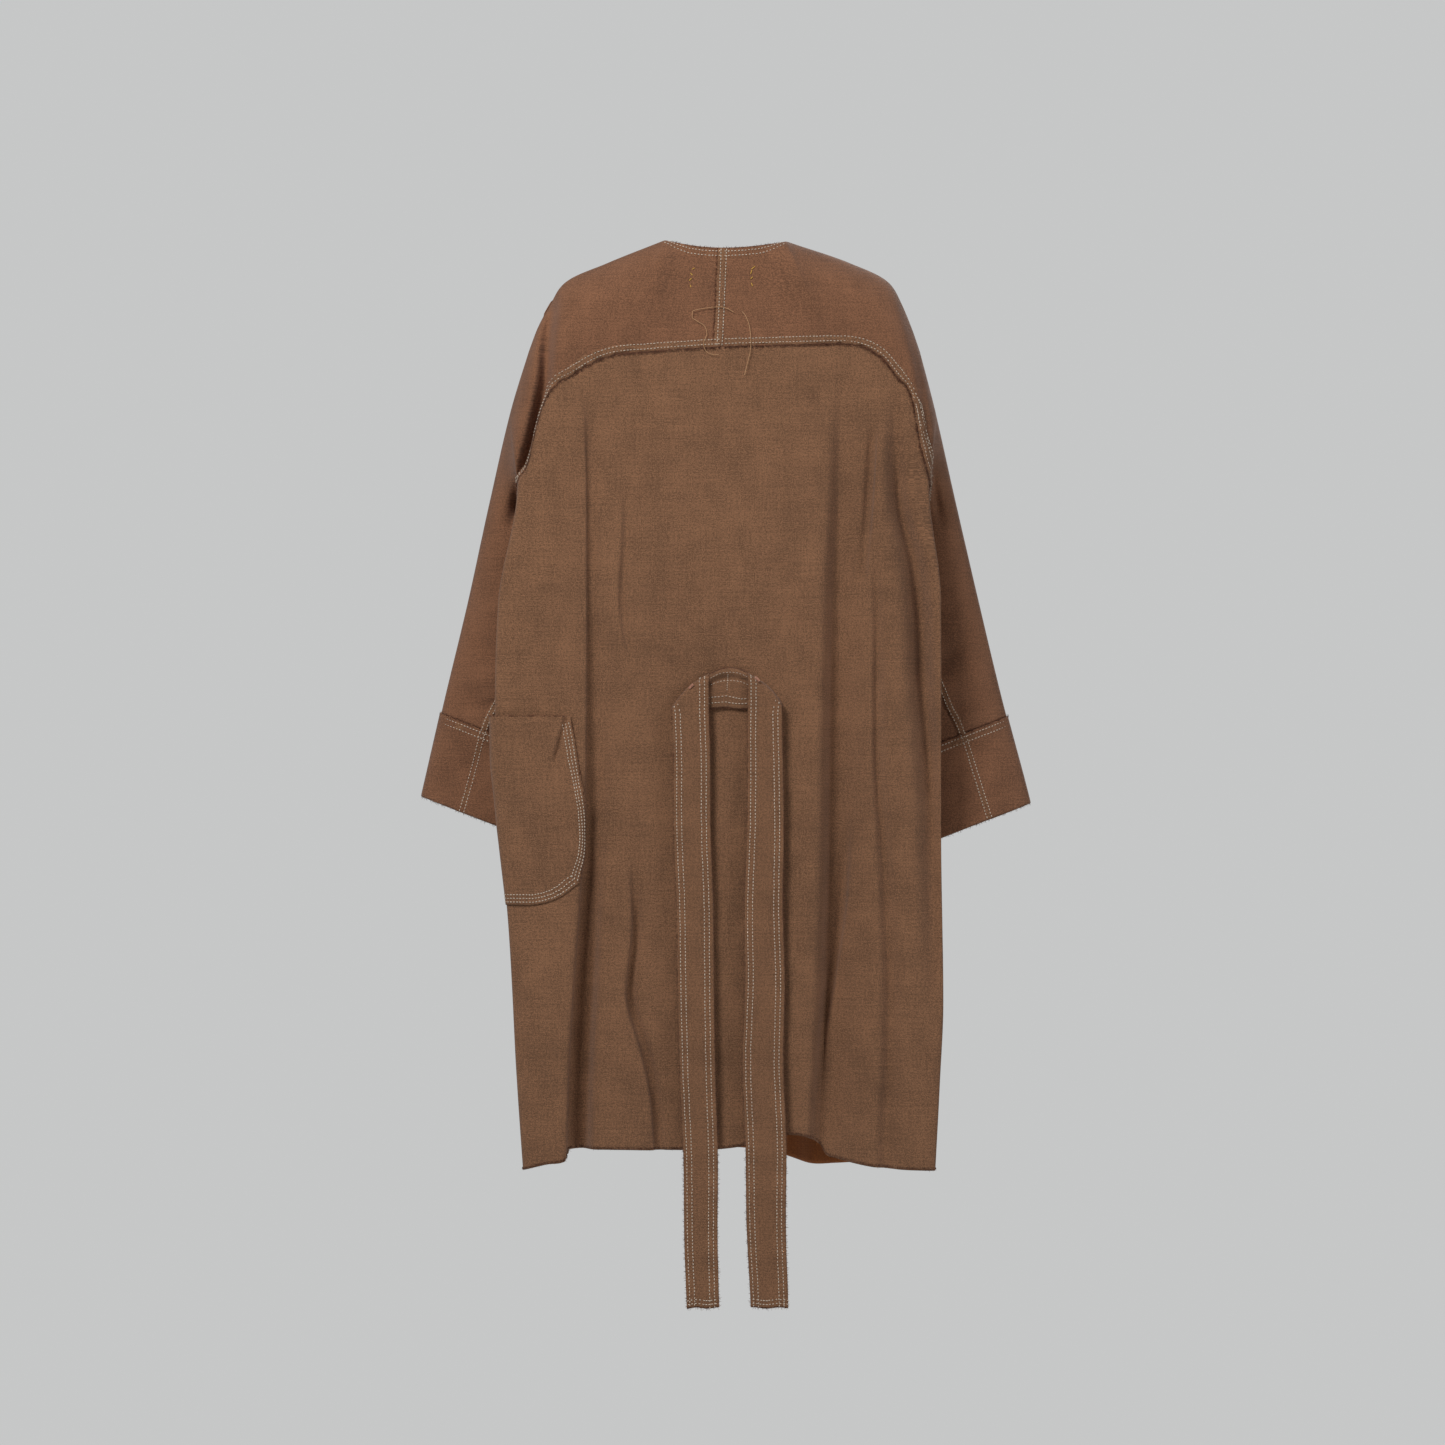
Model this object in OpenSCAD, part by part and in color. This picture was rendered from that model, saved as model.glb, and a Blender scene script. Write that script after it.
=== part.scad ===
/* [Overall] */
// Drop from the hanger line to the back hem, at the middle
back_drop = 1050; // [950:5:1100]
// Drop from the hanger line to the front hem
front_drop = 1064; // [960:5:1110]
// Extra drop of the back hem at the side folds
side_dip = 24; // [0:1:40]
// Half of the widest part of the back, at the side folds
back_half_w = 256; // [250:1:262]
// Thickness of the cloth stand-in
cloth_t = 2.4; // [1.6:0.2:2.6]

/* [Neck and shoulders] */
// Half the width of the neck opening
neck_half_w = 70; // [64:1:78]
// How far the back neckline sits behind the hanger line
neck_back = 38; // [30:1:44]
// How far the back neckline dips below the neck points
neck_dip = 12; // [6:1:18]
// How far the front neckline sits in front of the hanger line
neck_front = 46; // [40:1:50]
// Drop from the hanger line to the front neckline
neck_scoop = 92; // [70:1:100]
// Distance from the middle to each end of the shoulder curve
shoulder_half_w = 230; // [226:1:234]
// Drop from the hanger line to the end of the shoulder curve
shoulder_drop = 125; // [110:1:135]
// Drop from the hanger line to the yoke seam at the middle of the back
yoke_drop = 125; // [118:1:134]
// Drop from the hanger line to the yoke seam at the front edge
front_yoke_drop = 150; // [140:1:170]

/* [Sleeves] */
// Drop from the hanger line to the line where a sleeve swings
armpit_drop = 345; // [340:1:350]
// Sideways reach of a sleeve for each mm that it drops
sleeve_lean = 0.25; // [0.22:0.01:0.28]
// Drop from the hanger line to the cuff seam, at the outer edge
cuff_seam_drop = 550; // [520:5:570]
// Drop from the hanger line to the end of the cuff, at the outer edge
cuff_drop = 650; // [630:5:670]
// Flat width of the cuff's end
cuff_w = 160; // [145:1:162]
// Tilt of the cuff's end from level
cuff_tilt = 21; // [16:1:24]

/* [Belt and ties] */
// Drop from the hanger line to the top edge of the belt
belt_drop = 496; // [470:2:520]
// Height of the belt band
belt_h = 46; // [40:1:48]
// Width of a tie where it leaves the belt
tie_w = 42; // [38:1:44]
// Drop from the hanger line to the ends of the ties
tie_drop = 1231; // [1120:1:1260]
// Thickness of the folded band
band_t = 3; // [2:0.2:3.4]

/* [Pocket] */
// Drop from the hanger line to the mouth of the pocket
pocket_drop = 550; // [520:5:600]
// Height of the pocket
pocket_h = 218; // [180:2:230]
// Distance from the middle of the back to the pocket's sewn edge
pocket_in = 164; // [158:1:172]
// How far the pocket stands off the back panel at its mouth
pocket_gape = 9; // [8:0.5:11]

/* [Hidden] */

brown = [0.47, 0.33, 0.24];
sleeve_brown = [0.48, 0.31, 0.20];
rust = [0.62, 0.33, 0.16];
ochre = [0.76, 0.53, 0.20];
label_white = [0.85, 0.82, 0.75];

// Thickness of a seam strip, and its clearance from the cloth below it
fell_t = 1.2;
fell_gap = 0.5;
// Clearance between two cloth edges that meet
edge_gap = 1.2;
// Half the opening between the two front edges
front_gap = 14;
// Height of the neck points above the hanger line
neck_rise = 3;
// Share of the yoke's depth at which its cloth stops short of the seam
yoke_end = 0.985;
// Step for the numerical slopes of a surface
slope_step = 0.0005;
// Share of the seam line that lies on the flat of the back
turn = 0.7;
// Share of the seam line that lies under the neckline
neck_share = 0.25;
// Share of the top line at which the shoulder curve ends
shoulder_share = 0.55;
// Place of the yoke seam's outer end
seam_end_x = 237;
seam_end_z = -286;
// Drop below the seam's end over which the side folds open to full width
spread_drop = 134;
// How much the back narrows toward its hem, where that starts and over what drop
hem_narrow = 16;
narrow_start = 800;
narrow_drop = 270;
// Height of the armpit point and of the level break between chest and skirt
armpit_z = -armpit_drop + 7;
break_z = -armpit_drop - 7;
// The side seam: x at the armpit and hem, y at the armpit and hem
side_x = [180, 172];
side_y = [-26, -2];
// Depth of the back at the yoke seam and at the belt, and the drop between them
back_y = [-58, -72];
back_y_drop = 300;
// Depth of the side folds at the seam's end and where they are widest
fold_y = [-44, -50];
// Depth of the front, and the two points that bend it round to the side seam
front_y = 62;
front_bend = [[95, front_y], [146, 30]];
// The two points that bend the shoulder curve
shoulder_bend = [[165, 2, -25], [212, 4, -55]];
// Forward set of a sleeve's outer edge at the shoulder and at the swing line
ridge_y = [0, 16];
// Half depth of a sleeve at its top, at the cuff seam and at its end
sleeve_half_d = [32, 26, 24];
// Inner edge of a sleeve at the swing line and at the cuff seam
sleeve_in_x = [204, 206];
// Sideways place of each tie's middle: at the belt, half way and at the end
tie_left_x = [-37, -28.5, -22.5];
tie_right_x = [48.5, 48, 52.5];
// Middle of the belt band, and half the width of its level piece
belt_mid_x = 7.5;
belt_half_w = 23.5;
// Outer face of the back where the belt lies
belt_y = -75;

// ---- small helpers ----
function mix(a, b, t) = a + (b - a) * t;
function clamp(t) = max(0, min(1, t));
function ease(t) = let (c = clamp(t)) c * c * (3 - 2 * c);
function unit(v) = v / norm(v);
function cubic(a, b, c, d, t) =
    a * pow(1 - t, 3) + 3 * b * t * pow(1 - t, 2) + 3 * c * t * t * (1 - t) + d * pow(t, 3);
function flat_top(t, p) = pow(max(0, 1 - pow(min(1, t), p)), 1 / p);
function flip(p, side) = [p[0] * side, p[1], p[2]];

// Outward direction of the surface f at (u, v); turned by -1 for the other side
function normal(f, u, v, turned) =
    let (du = f(u + slope_step, v) - f(u - slope_step, v))
    let (dv = f(u, v + slope_step) - f(u, v - slope_step))
    unit(cross(du, dv)) * turned;

// ---- closed solids from surfaces ----
// A sheet of thickness t on surface f over a range of u and v, lifted along its normal
module sheet(f, us, vs, nu, nv, t, lift, turned) {
    pts = [for (face = [1, -1]) for (j = [0:nv]) for (i = [0:nu])
        let (u = mix(us[0], us[1], i / nu), v = mix(vs[0], vs[1], j / nv))
        f(u, v) + normal(f, u, v, turned) * (lift + face * t / 2)];
    row = nu + 1;
    back = row * (nv + 1);
    top = [for (j = [0:nv - 1]) for (i = [0:nu - 1]) let (a = j * row + i)
        each [[a, a + 1, a + row + 1], [a, a + row + 1, a + row]]];
    under = [for (f3 = top) [f3[0] + back, f3[2] + back, f3[1] + back]];
    rim = concat(
        [for (i = [0:nu - 1]) [i, i + 1]],
        [for (j = [0:nv - 1]) [j * row + nu, (j + 1) * row + nu]],
        [for (i = [nu:-1:1]) [nv * row + i, nv * row + i - 1]],
        [for (j = [nv:-1:1]) [j * row, (j - 1) * row]]);
    walls = [for (e = rim) each [[e[1], e[0], e[0] + back], [e[1], e[0] + back, e[1] + back]]];
    faces = concat(top, under, walls);
    wanted = turned > 0 ? [for (f3 = faces) [f3[2], f3[1], f3[0]]] : faces;
    polyhedron(points = pts, faces = wanted, convexity = 8);
}

// A closed band of thickness t on surface f, whose u runs once round
module band(f, vs, nu, nv, t, lift, turned) {
    pts = [for (face = [1, -1]) for (j = [0:nv]) for (i = [0:nu - 1])
        let (u = i / nu, v = mix(vs[0], vs[1], j / nv))
        f(u, v) + normal(f, u, v, turned) * (lift + face * t / 2)];
    back = nu * (nv + 1);
    top = [for (j = [0:nv - 1]) for (i = [0:nu - 1])
        let (a = j * nu + i, b = j * nu + (i + 1) % nu)
        each [[a, b, b + nu], [a, b + nu, a + nu]]];
    under = [for (f3 = top) [f3[0] + back, f3[2] + back, f3[1] + back]];
    rim = concat(
        [for (i = [0:nu - 1]) [i, (i + 1) % nu]],
        [for (i = [0:nu - 1]) [nv * nu + (i + 1) % nu, nv * nu + i]]);
    walls = [for (e = rim) each [[e[1], e[0], e[0] + back], [e[1], e[0] + back, e[1] + back]]];
    faces = concat(top, under, walls);
    wanted = turned > 0 ? [for (f3 = faces) [f3[2], f3[1], f3[0]]] : faces;
    polyhedron(points = pts, faces = wanted, convexity = 8);
}

// A seam strip of width w that follows path(q) = [u, v] on surface f, shifted sideways
module strip(f, path, w, shift, nq, lift, turned) {
    line = function(q) let (a = path(q)) f(a[0], a[1]);
    across = function(q)
        let (a = path(q))
        unit(cross(normal(f, a[0], a[1], turned), line(q + slope_step) - line(q - slope_step)));
    flat = function(q, k) line(q) + across(q) * (shift + w * (k - 0.5));
    rise = lift + cloth_t / 2 + fell_gap + fell_t / 2;
    lifted = function(q, k)
        let (a = path(q))
        flat(q, k) + normal(f, a[0], a[1], turned) * rise;
    sheet(lifted, [0, 1], [0, 1], nq, 1, fell_t, 0, 1);
}

// ---- the garment's surfaces, for the side with positive x ----
// Half width and depths of the back, by height
function spread(z) = ease((seam_end_z - z) / spread_drop);
function half_w(z) =
    mix(seam_end_x, back_half_w, spread(z)) - hem_narrow * ease((-z - narrow_start) / narrow_drop);
function mid_y(z) = mix(back_y[0], back_y[1], ease((-z - yoke_drop) / back_y_drop));
function tip_y(z) = mix(fold_y[0], fold_y[1], spread(z));
function side_t(z) = clamp((armpit_z - z) / (front_drop + armpit_z));
function seam_x(z) = mix(side_x[0], side_x[1], side_t(z));
function seam_y(z) = mix(side_y[0], side_y[1], side_t(z));

// Cross-section of the back: s runs from the middle to the side fold and on to the side seam
function back_section(s, z) =
    s <= turn
    ? let (r = sin(90 * s / turn))
        [half_w(z) * r, mix(tip_y(z), mid_y(z), flat_top(abs(r), 4)), z]
    : let (b = 90 * (s - turn) / (1 - turn))
        [mix(seam_x(z), half_w(z), cos(b)), mix(tip_y(z), seam_y(z), sin(b)), z];

// Height of the back's seam with the yoke, and of its hem
function back_top(s) =
    s <= turn
    ? seam_end_z + (-yoke_drop - seam_end_z) * flat_top(abs(sin(90 * s / turn)), 3)
    : mix(seam_end_z, armpit_z, sin(90 * (s - turn) / (1 - turn)));
function back_hem(s) = -back_drop - side_dip * ease(abs(s) / turn);
back_right = function(s, v) back_section(s, mix(back_top(s), back_hem(s), v));

// Cross-section of the front: s runs from the front edge to the side seam
function front_section(s, z) =
    let (p = cubic([front_gap, front_y], front_bend[0], front_bend[1], [seam_x(z), seam_y(z)], s))
    [p[0], p[1], z];
function front_seam_share(s) =
    (front_section(s, armpit_z)[0] - front_gap) / (side_x[0] - front_gap);
function front_top(s) =
    armpit_z + (-front_yoke_drop - armpit_z) * flat_top(clamp(front_seam_share(s)), 2.6);
chest_right = function(s, v) front_section(s, mix(front_top(s), break_z + edge_gap, v));
skirt_right = function(s, v) front_section(s, mix(break_z - edge_gap, -front_drop, v));

// Top line of the yoke: neckline, shoulder curve, then the sleeve's outer edge
function sleeve_out(z) = [shoulder_half_w + sleeve_lean * (-z - shoulder_drop), 0, z];
function ridge(q) =
    q <= shoulder_share
    ? let (t = (q - neck_share) / (shoulder_share - neck_share))
        cubic([neck_half_w, ridge_y[0], neck_rise], shoulder_bend[0], shoulder_bend[1],
            [shoulder_half_w, 6, -shoulder_drop], t)
    : let (t = (q - shoulder_share) / (1 - shoulder_share))
        let (z = mix(-shoulder_drop, -armpit_drop, t))
        sleeve_out(z) + [0, mix(6, ridge_y[1], t), 0];
function back_neck(q) =
    let (r = q / neck_share)
    [neck_half_w * r, -neck_back * sqrt(max(0, 1 - r * r)), neck_rise - neck_dip * (1 - r * r)];
function front_neck(q) =
    let (a = 90 * clamp(q / neck_share))
    [mix(front_gap, neck_half_w, sin(a)), neck_front * cos(a), mix(neck_rise, -neck_scoop, cos(a))];

// Yoke between its top line and its seam: c runs down, bulge rounds it over the arm
function yoke_point(top, foot, q, c, bulge) =
    let (fold = ease(1 + (q - neck_share) / 0.15))
    let (arm = ease((q - turn) / (1 - turn)))
    let (down = mix(c, mix(1 - cos(90 * c), (1 - cos(180 * c)) / 2, arm), fold))
    let (deep = mix(c, sin(90 * c), fold))
    [mix(top[0], foot[0], down), mix(top[1], foot[1], deep) + bulge * arm * sin(180 * c),
        mix(top[2], foot[2], down)];
yoke_back = function(q, c)
    let (foot = back_section(q, back_top(q)) + [6, 8, 0] * ease((q - turn) / (1 - turn)))
    yoke_point(q < neck_share ? back_neck(q) : ridge(q), foot, q, c, -6);
yoke_front = function(q, c)
    let (s = clamp(q))
    let (foot = front_section(s, front_top(s)) + [6, 8, 0] * ease((q - turn) / (1 - turn)))
    yoke_point(q < neck_share ? front_neck(q) : ridge(q), foot, q, c, 44);

// Sleeve and cuff as tubes: a runs round from the outer edge, z-lines run from top to end
function tube_point(out, in, half_d, y, a) =
    let (c = (out + in) / 2, h = (out - in) / 2)
    [c[0] + h[0] * cos(a), y + half_d * sin(a), c[2] + h[2] * cos(a)];
cuff_run = [cos(cuff_tilt), 0, -sin(cuff_tilt)];
sleeve_top_out = sleeve_out(-armpit_drop - 3);
sleeve_top_in = [sleeve_in_x[0], 0, -armpit_drop + 2];
seam_out = sleeve_out(-cuff_seam_drop);
seam_in = [sleeve_in_x[1], 0, seam_out[2] - (seam_out[0] - sleeve_in_x[1]) * tan(cuff_tilt)];
end_out = sleeve_out(-cuff_drop);
end_in = end_out + [-cuff_run[0] * cuff_w, 0, cuff_run[2] * cuff_w];
sleeve_right_f = function(u, v)
    tube_point(mix(sleeve_top_out, seam_out, v), mix(sleeve_top_in, seam_in, v),
        mix(sleeve_half_d[0], sleeve_half_d[1], v), mix(16, 18, v), -360 * u);
cuff_right_f = function(u, v)
    tube_point(mix(seam_out, end_out, v), mix(seam_in, end_in, v),
        mix(sleeve_half_d[1], sleeve_half_d[2], v), mix(18, 20, v), -360 * u);
function mirrored(f, side) = function(u, v) flip(f(u, v), side);

// ---- sub-parts ----
// The back and front of the yoke are one cloth that folds over the shoulder line
module yoke(side) {
    nq = 20;
    nc = 6;
    fold_start = round(neck_share * nq);
    halves = [mirrored(yoke_back, side), mirrored(yoke_front, side)];
    turned = [-side, side];
    count = (nq + 1) * (nc + 1);
    pts = [for (face = [1, -1]) for (k = [0, 1]) for (j = [0:nc]) for (i = [0:nq])
        let (q = i / nq, c = yoke_end * j / nc)
        halves[k](q, c) + normal(halves[k], q, c, turned[k]) * face * cloth_t / 2];
    id = function(face, k, i, j)
        let (half = k == 1 && j == 0 && i >= fold_start ? 0 : k)
        (face * 2 + half) * count + j * (nq + 1) + i;
    skin = [for (k = [0, 1]) for (j = [0:nc - 1]) for (i = [0:nq - 1])
        let (quad = [id(0, k, i, j), id(0, k, i + 1, j), id(0, k, i + 1, j + 1), id(0, k, i, j + 1)])
        let (way = turned[k] > 0 ? [0, 3, 2, 1] : [0, 1, 2, 3])
        each [[quad[way[0]], quad[way[1]], quad[way[2]]], [quad[way[0]], quad[way[2]], quad[way[3]]]]];
    rim = [for (k = [0, 1]) each concat(
        [for (i = [0:fold_start - 1]) [k, [i, 0], [i + 1, 0]]],
        [for (j = [0:nc - 1]) [k, [nq, j], [nq, j + 1]]],
        [for (i = [nq:-1:1]) [k, [i, nc], [i - 1, nc]]],
        [for (j = [nc:-1:1]) [k, [0, j], [0, j - 1]]])];
    walls = [for (e = rim)
        let (a = turned[e[0]] > 0 ? e[2] : e[1], b = turned[e[0]] > 0 ? e[1] : e[2])
        let (a0 = id(0, e[0], a[0], a[1]), b0 = id(0, e[0], b[0], b[1]))
        each [[b0, a0, a0 + 2 * count], [b0, a0 + 2 * count, b0 + 2 * count]]];
    lining = [for (f3 = skin) [f3[0], f3[2], f3[1]] + [2, 2, 2] * count];
    color(sleeve_brown) polyhedron(points = pts, faces = concat(skin, lining, walls), convexity = 8);
}

module back_panel() {
    whole = function(u, v)
        let (s = mix(-1, 1, u))
        flip(back_right(abs(s), v), s < 0 ? -1 : 1);
    color(brown) sheet(whole, [0, 1], [0.004, 1], 56, 9, cloth_t, 0, -1);
}

module chest(side) {
    color(brown) sheet(mirrored(chest_right, side), [0, 0.985], [0.01, 1], 14, 4, cloth_t, 0, side);
}

module neck_facing(side) {
    inside = -(cloth_t + fell_t) / 2 - 2 * fell_gap;
    color(sleeve_brown) {
        sheet(mirrored(yoke_back, side), [0.012, 0.2], [0.02, 0.22], 8, 1, fell_t, inside, -side);
        sheet(mirrored(yoke_front, side), [0.012, 0.2], [0.02, 0.22], 8, 1, fell_t, inside, side);
    }
}

// A strip inside a front edge, over the range vs of the surface f
module edge_facing(side, f, vs, nv) {
    inside = -(cloth_t + fell_t) / 2 - fell_gap;
    color(sleeve_brown) sheet(mirrored(f, side), [0.01, 0.17], vs, 3, nv, fell_t, inside, side);
}

module chest_facing(side) {
    edge_facing(side, chest_right, [0.02, 0.98], 3);
}

module front_facing(side) {
    edge_facing(side, skirt_right, [0.01, 0.99], 8);
}

module centre_back_fell() {
    color(brown) strip(yoke_back, function(q) [0, mix(0.02, 0.97, q)], 8, 5, 6, 0, -1);
}

module yoke_fell(side) {
    path = function(q) [mix(0.045, 0.69, q), mix(0.92, 0.84, q)];
    color(brown) strip(mirrored(yoke_back, side), path, 9, 0, 20, 1, -side);
}

module armhole_fell(side) {
    path = function(q) [mix(0.52, 0.7, q), mix(0.66, 0.62, q)];
    color(brown) strip(mirrored(yoke_back, side), path, 9, 0, 6, 0.5, -side);
}

module sleeve(side) {
    color(sleeve_brown) band(mirrored(sleeve_right_f, side), [0, 0.992], 24, 4, cloth_t, 0, side);
}

module cuff(side) {
    color(sleeve_brown) band(mirrored(cuff_right_f, side), [0.012, 1], 24, 2, cloth_t, 0, side);
}

module cuff_seam(side) {
    lift = (cloth_t + fell_t) / 2 + fell_gap;
    color(brown) band(mirrored(cuff_right_f, side), [0.02, 0.12], 24, 1, fell_t, lift, side);
}

// The underarm seam runs down the back of the sleeve from its inner edge
module underarm_fell(side) {
    upper = function(q) [mix(0.47, 0.275, q), mix(0.03, 0.97, q)];
    lower = function(q) [mix(0.27, 0.19, q), mix(0.16, 0.985, q)];
    color(sleeve_brown) {
        strip(mirrored(sleeve_right_f, side), upper, 8, 0, 10, 0, side);
        strip(mirrored(cuff_right_f, side), lower, 8, 0, 4, 0, side);
    }
}

module front_panel(side) {
    color(rust) sheet(mirrored(skirt_right, side), [0, 0.985], [0, 1], 14, 8, cloth_t, 0, side);
}

// The patch stands off the back at its mouth and closes toward its sewn edges
module side_pocket() {
    in_s = turn * asin(pocket_in / back_half_w) / 90;
    out_s = 0.93;
    spot = function(u, v)
        let (s = mix(in_s, out_s, u), z = -pocket_drop - pocket_h * v)
        flip(back_section(s, z), -1);
    puff = function(u, v)
        let (rise = pocket_gape * pow(max(0, sin(180 * clamp(u))), 0.5) * (1 - pow(clamp(v), 6)))
        spot(u, v) + normal(spot, u, v, 1) * (cloth_t + fell_gap + rise);
    color(brown) sheet(puff, [0, 1], [0, 1], 20, 8, 2, 0, 1);
}

module flat_piece(points, y, t) {
    translate([0, y, 0]) rotate([90, 0, 0]) linear_extrude(t) polygon(points);
}

module belt_centre() {
    color(brown) flat_piece([
        [belt_mid_x - belt_half_w, -belt_drop - 4],
        [belt_mid_x - belt_half_w + 8, -belt_drop],
        [belt_mid_x + belt_half_w - 8, -belt_drop],
        [belt_mid_x + belt_half_w, -belt_drop - 4],
        [belt_mid_x + belt_half_w + tie_w, -belt_drop - belt_h],
        [belt_mid_x - belt_half_w - tie_w, -belt_drop - belt_h]], belt_y, band_t / 2);
}

// The band turns down at 45 degrees, so its fold lies over the belt's level piece
module belt_fold(side) {
    in_x = belt_mid_x + side * belt_half_w;
    color(brown) flat_piece([
        [in_x, -belt_drop - 5],
        [in_x + side * tie_w, -belt_drop - belt_h],
        [in_x, -belt_drop - belt_h]], belt_y - band_t / 2 - 0.4, band_t);
}

module belt_tacks() {
    color(ochre)
        for (side = [-1, 1])
            translate([belt_mid_x + side * (belt_half_w + 16), belt_y - band_t * 1.5 - 1, -belt_drop - 28])
                rotate([0, side * 45, 0]) cube([7, 0.8, 1], center = true);
}

module tie(x) {
    half = tie_w / 2;
    top_z = -belt_drop - belt_h - 3;
    color(brown) flat_piece([
        [x[0] - half, top_z], [x[0] + half, top_z], [x[1] + half, -900],
        [x[2] + half, -tie_drop], [x[2] - half, -tie_drop], [x[1] - half, -900]],
        belt_y - band_t / 2 - 0.4, band_t);
}

module neck_label() {
    color(label_white)
        translate([0, -36, -42]) rotate([-8, 0, 0]) cube([66, 0.8, 20], center = true);
}

// Two columns of plain tacks that hold the blank label
module label_tacks() {
    color(ochre)
        for (side = [-1, 1])
            for (c = [0.2, 0.27, 0.34]) {
                column = function(t) [0.1, c + 0.045 * t];
                strip(mirrored(yoke_back, side), column, 1.4, 0, 1, 0.2, -side);
            }
}

yoke(-1);  // yoke_left
yoke(1);  // yoke_right
back_panel();
chest(-1);  // chest_left
chest(1);  // chest_right
neck_facing(-1);  // neck_facing_left
neck_facing(1);  // neck_facing_right
chest_facing(-1);  // chest_facing_left
chest_facing(1);  // chest_facing_right
centre_back_fell();
yoke_fell(-1);  // yoke_fell_left
yoke_fell(1);  // yoke_fell_right
armhole_fell(-1);  // armhole_fell_left
armhole_fell(1);  // armhole_fell_right
sleeve(-1);  // sleeve_left
sleeve(1);  // sleeve_right
cuff(-1);  // cuff_left
cuff(1);  // cuff_right
cuff_seam(-1);  // cuff_seam_left
cuff_seam(1);  // cuff_seam_right
underarm_fell(-1);  // underarm_fell_left
underarm_fell(1);  // underarm_fell_right
front_panel(-1);  // front_panel_left
front_panel(1);  // front_panel_right
front_facing(-1);  // front_facing_left
front_facing(1);  // front_facing_right
side_pocket();
belt_centre();
belt_fold(-1);  // belt_fold_left
belt_fold(1);  // belt_fold_right
belt_tacks();
tie(tie_left_x);  // tie_left
tie(tie_right_x);  // tie_right
neck_label();
label_tacks();
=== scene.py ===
"""Looks of the artist smock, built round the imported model. Metres, +Z up; the back faces -Y."""
import math

import bmesh
import bpy
import numpy as np
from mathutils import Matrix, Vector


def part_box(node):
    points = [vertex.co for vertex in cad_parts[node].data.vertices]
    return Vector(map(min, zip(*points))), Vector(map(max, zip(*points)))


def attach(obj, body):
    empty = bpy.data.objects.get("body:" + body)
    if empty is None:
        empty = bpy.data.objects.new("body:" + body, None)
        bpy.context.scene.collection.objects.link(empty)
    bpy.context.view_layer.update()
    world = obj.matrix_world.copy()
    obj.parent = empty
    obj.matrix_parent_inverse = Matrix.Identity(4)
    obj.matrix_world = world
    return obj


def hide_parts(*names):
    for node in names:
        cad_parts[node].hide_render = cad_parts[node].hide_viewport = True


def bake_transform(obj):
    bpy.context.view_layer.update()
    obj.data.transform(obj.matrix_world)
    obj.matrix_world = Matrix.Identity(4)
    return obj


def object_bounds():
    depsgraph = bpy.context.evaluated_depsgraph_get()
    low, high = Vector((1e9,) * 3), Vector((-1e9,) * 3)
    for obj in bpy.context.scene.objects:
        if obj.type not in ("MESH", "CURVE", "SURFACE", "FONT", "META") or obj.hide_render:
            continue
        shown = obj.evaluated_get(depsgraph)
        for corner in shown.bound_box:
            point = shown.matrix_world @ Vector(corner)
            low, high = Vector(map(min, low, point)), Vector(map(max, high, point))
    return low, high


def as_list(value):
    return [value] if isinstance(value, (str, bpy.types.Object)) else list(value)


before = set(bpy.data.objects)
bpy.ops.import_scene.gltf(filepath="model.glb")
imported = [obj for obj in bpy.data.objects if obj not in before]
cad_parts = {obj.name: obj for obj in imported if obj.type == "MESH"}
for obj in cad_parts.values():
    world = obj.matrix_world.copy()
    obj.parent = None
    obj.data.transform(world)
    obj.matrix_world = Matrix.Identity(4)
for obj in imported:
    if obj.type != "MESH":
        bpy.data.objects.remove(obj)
cad_box = [list(corner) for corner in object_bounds()]
QUARTER_TURN = math.pi / 2

# ---------------------------------------------------------------- camera
# the view is VIEW_WIDTH wide at the depth VIEW_Y, and its middle is a little above the model's
CAMERA_DISTANCE = 4.5
VIEW_WIDTH = 1.676
VIEW_Y = -0.03
VIEW_CENTRE_LIFT = 0.054
SENSOR = 36.0
middle_z = (cad_box[0][2] + cad_box[1][2]) / 2 + VIEW_CENTRE_LIFT

camera_data = bpy.data.cameras.new("camera")
camera_data.sensor_width = SENSOR
camera_data.lens = SENSOR * CAMERA_DISTANCE / VIEW_WIDTH
camera = bpy.data.objects.new("camera", camera_data)
camera.location = (0, VIEW_Y - CAMERA_DISTANCE, middle_z)
camera.rotation_euler = (QUARTER_TURN, 0, 0)
bpy.context.collection.objects.link(camera)
bpy.context.scene.camera = camera
bpy.context.scene.view_settings.view_transform = "Standard"

# ---------------------------------------------------------------- numbers shared with the CAD design
# TURN is where the flat of the back ends, as a share of the way from its middle to the side seam; NECK and
# SHOULDER are the neck point and the shoulder curve's end, as shares of the way from the neck to the armpit
TURN = 0.7
NECK = 0.25
SHOULDER = 0.55
SEAM_END = (0.237, -0.286)
ARMPIT = (0.204, 0.013, -0.341)
SWING_Z = -0.345
SHOULDER_Z = -0.125
YOKE_Z = -0.125
FRONT_YOKE_Z = -0.150
# x of the front edge, and of two points that shape the front's curve across
FRONT_ACROSS = (0.014, 0.095, 0.146)
CLOTH = 0.0011
FACING_CLOTH = 0.0007
FACING_INSET = 0.0021
THREAD_PITCH = 0.0039
# the two rows of topstitching along an edge, from the edge
EDGE_ROWS = (0.0030, 0.0085)
hem_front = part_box("front_panel_left")[0][2]
belt_low, belt_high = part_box("belt_centre")
pocket_low, pocket_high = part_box("side_pocket")


# ---------------------------------------------------------------- small maths
def mix(a, b, t):
    return a + (b - a) * t


def clamp(t):
    return np.clip(t, 0, 1)


def ease(t):
    t = clamp(t)
    return t * t * (3 - 2 * t)


def hill(t):
    return np.exp(-t * t)


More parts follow.
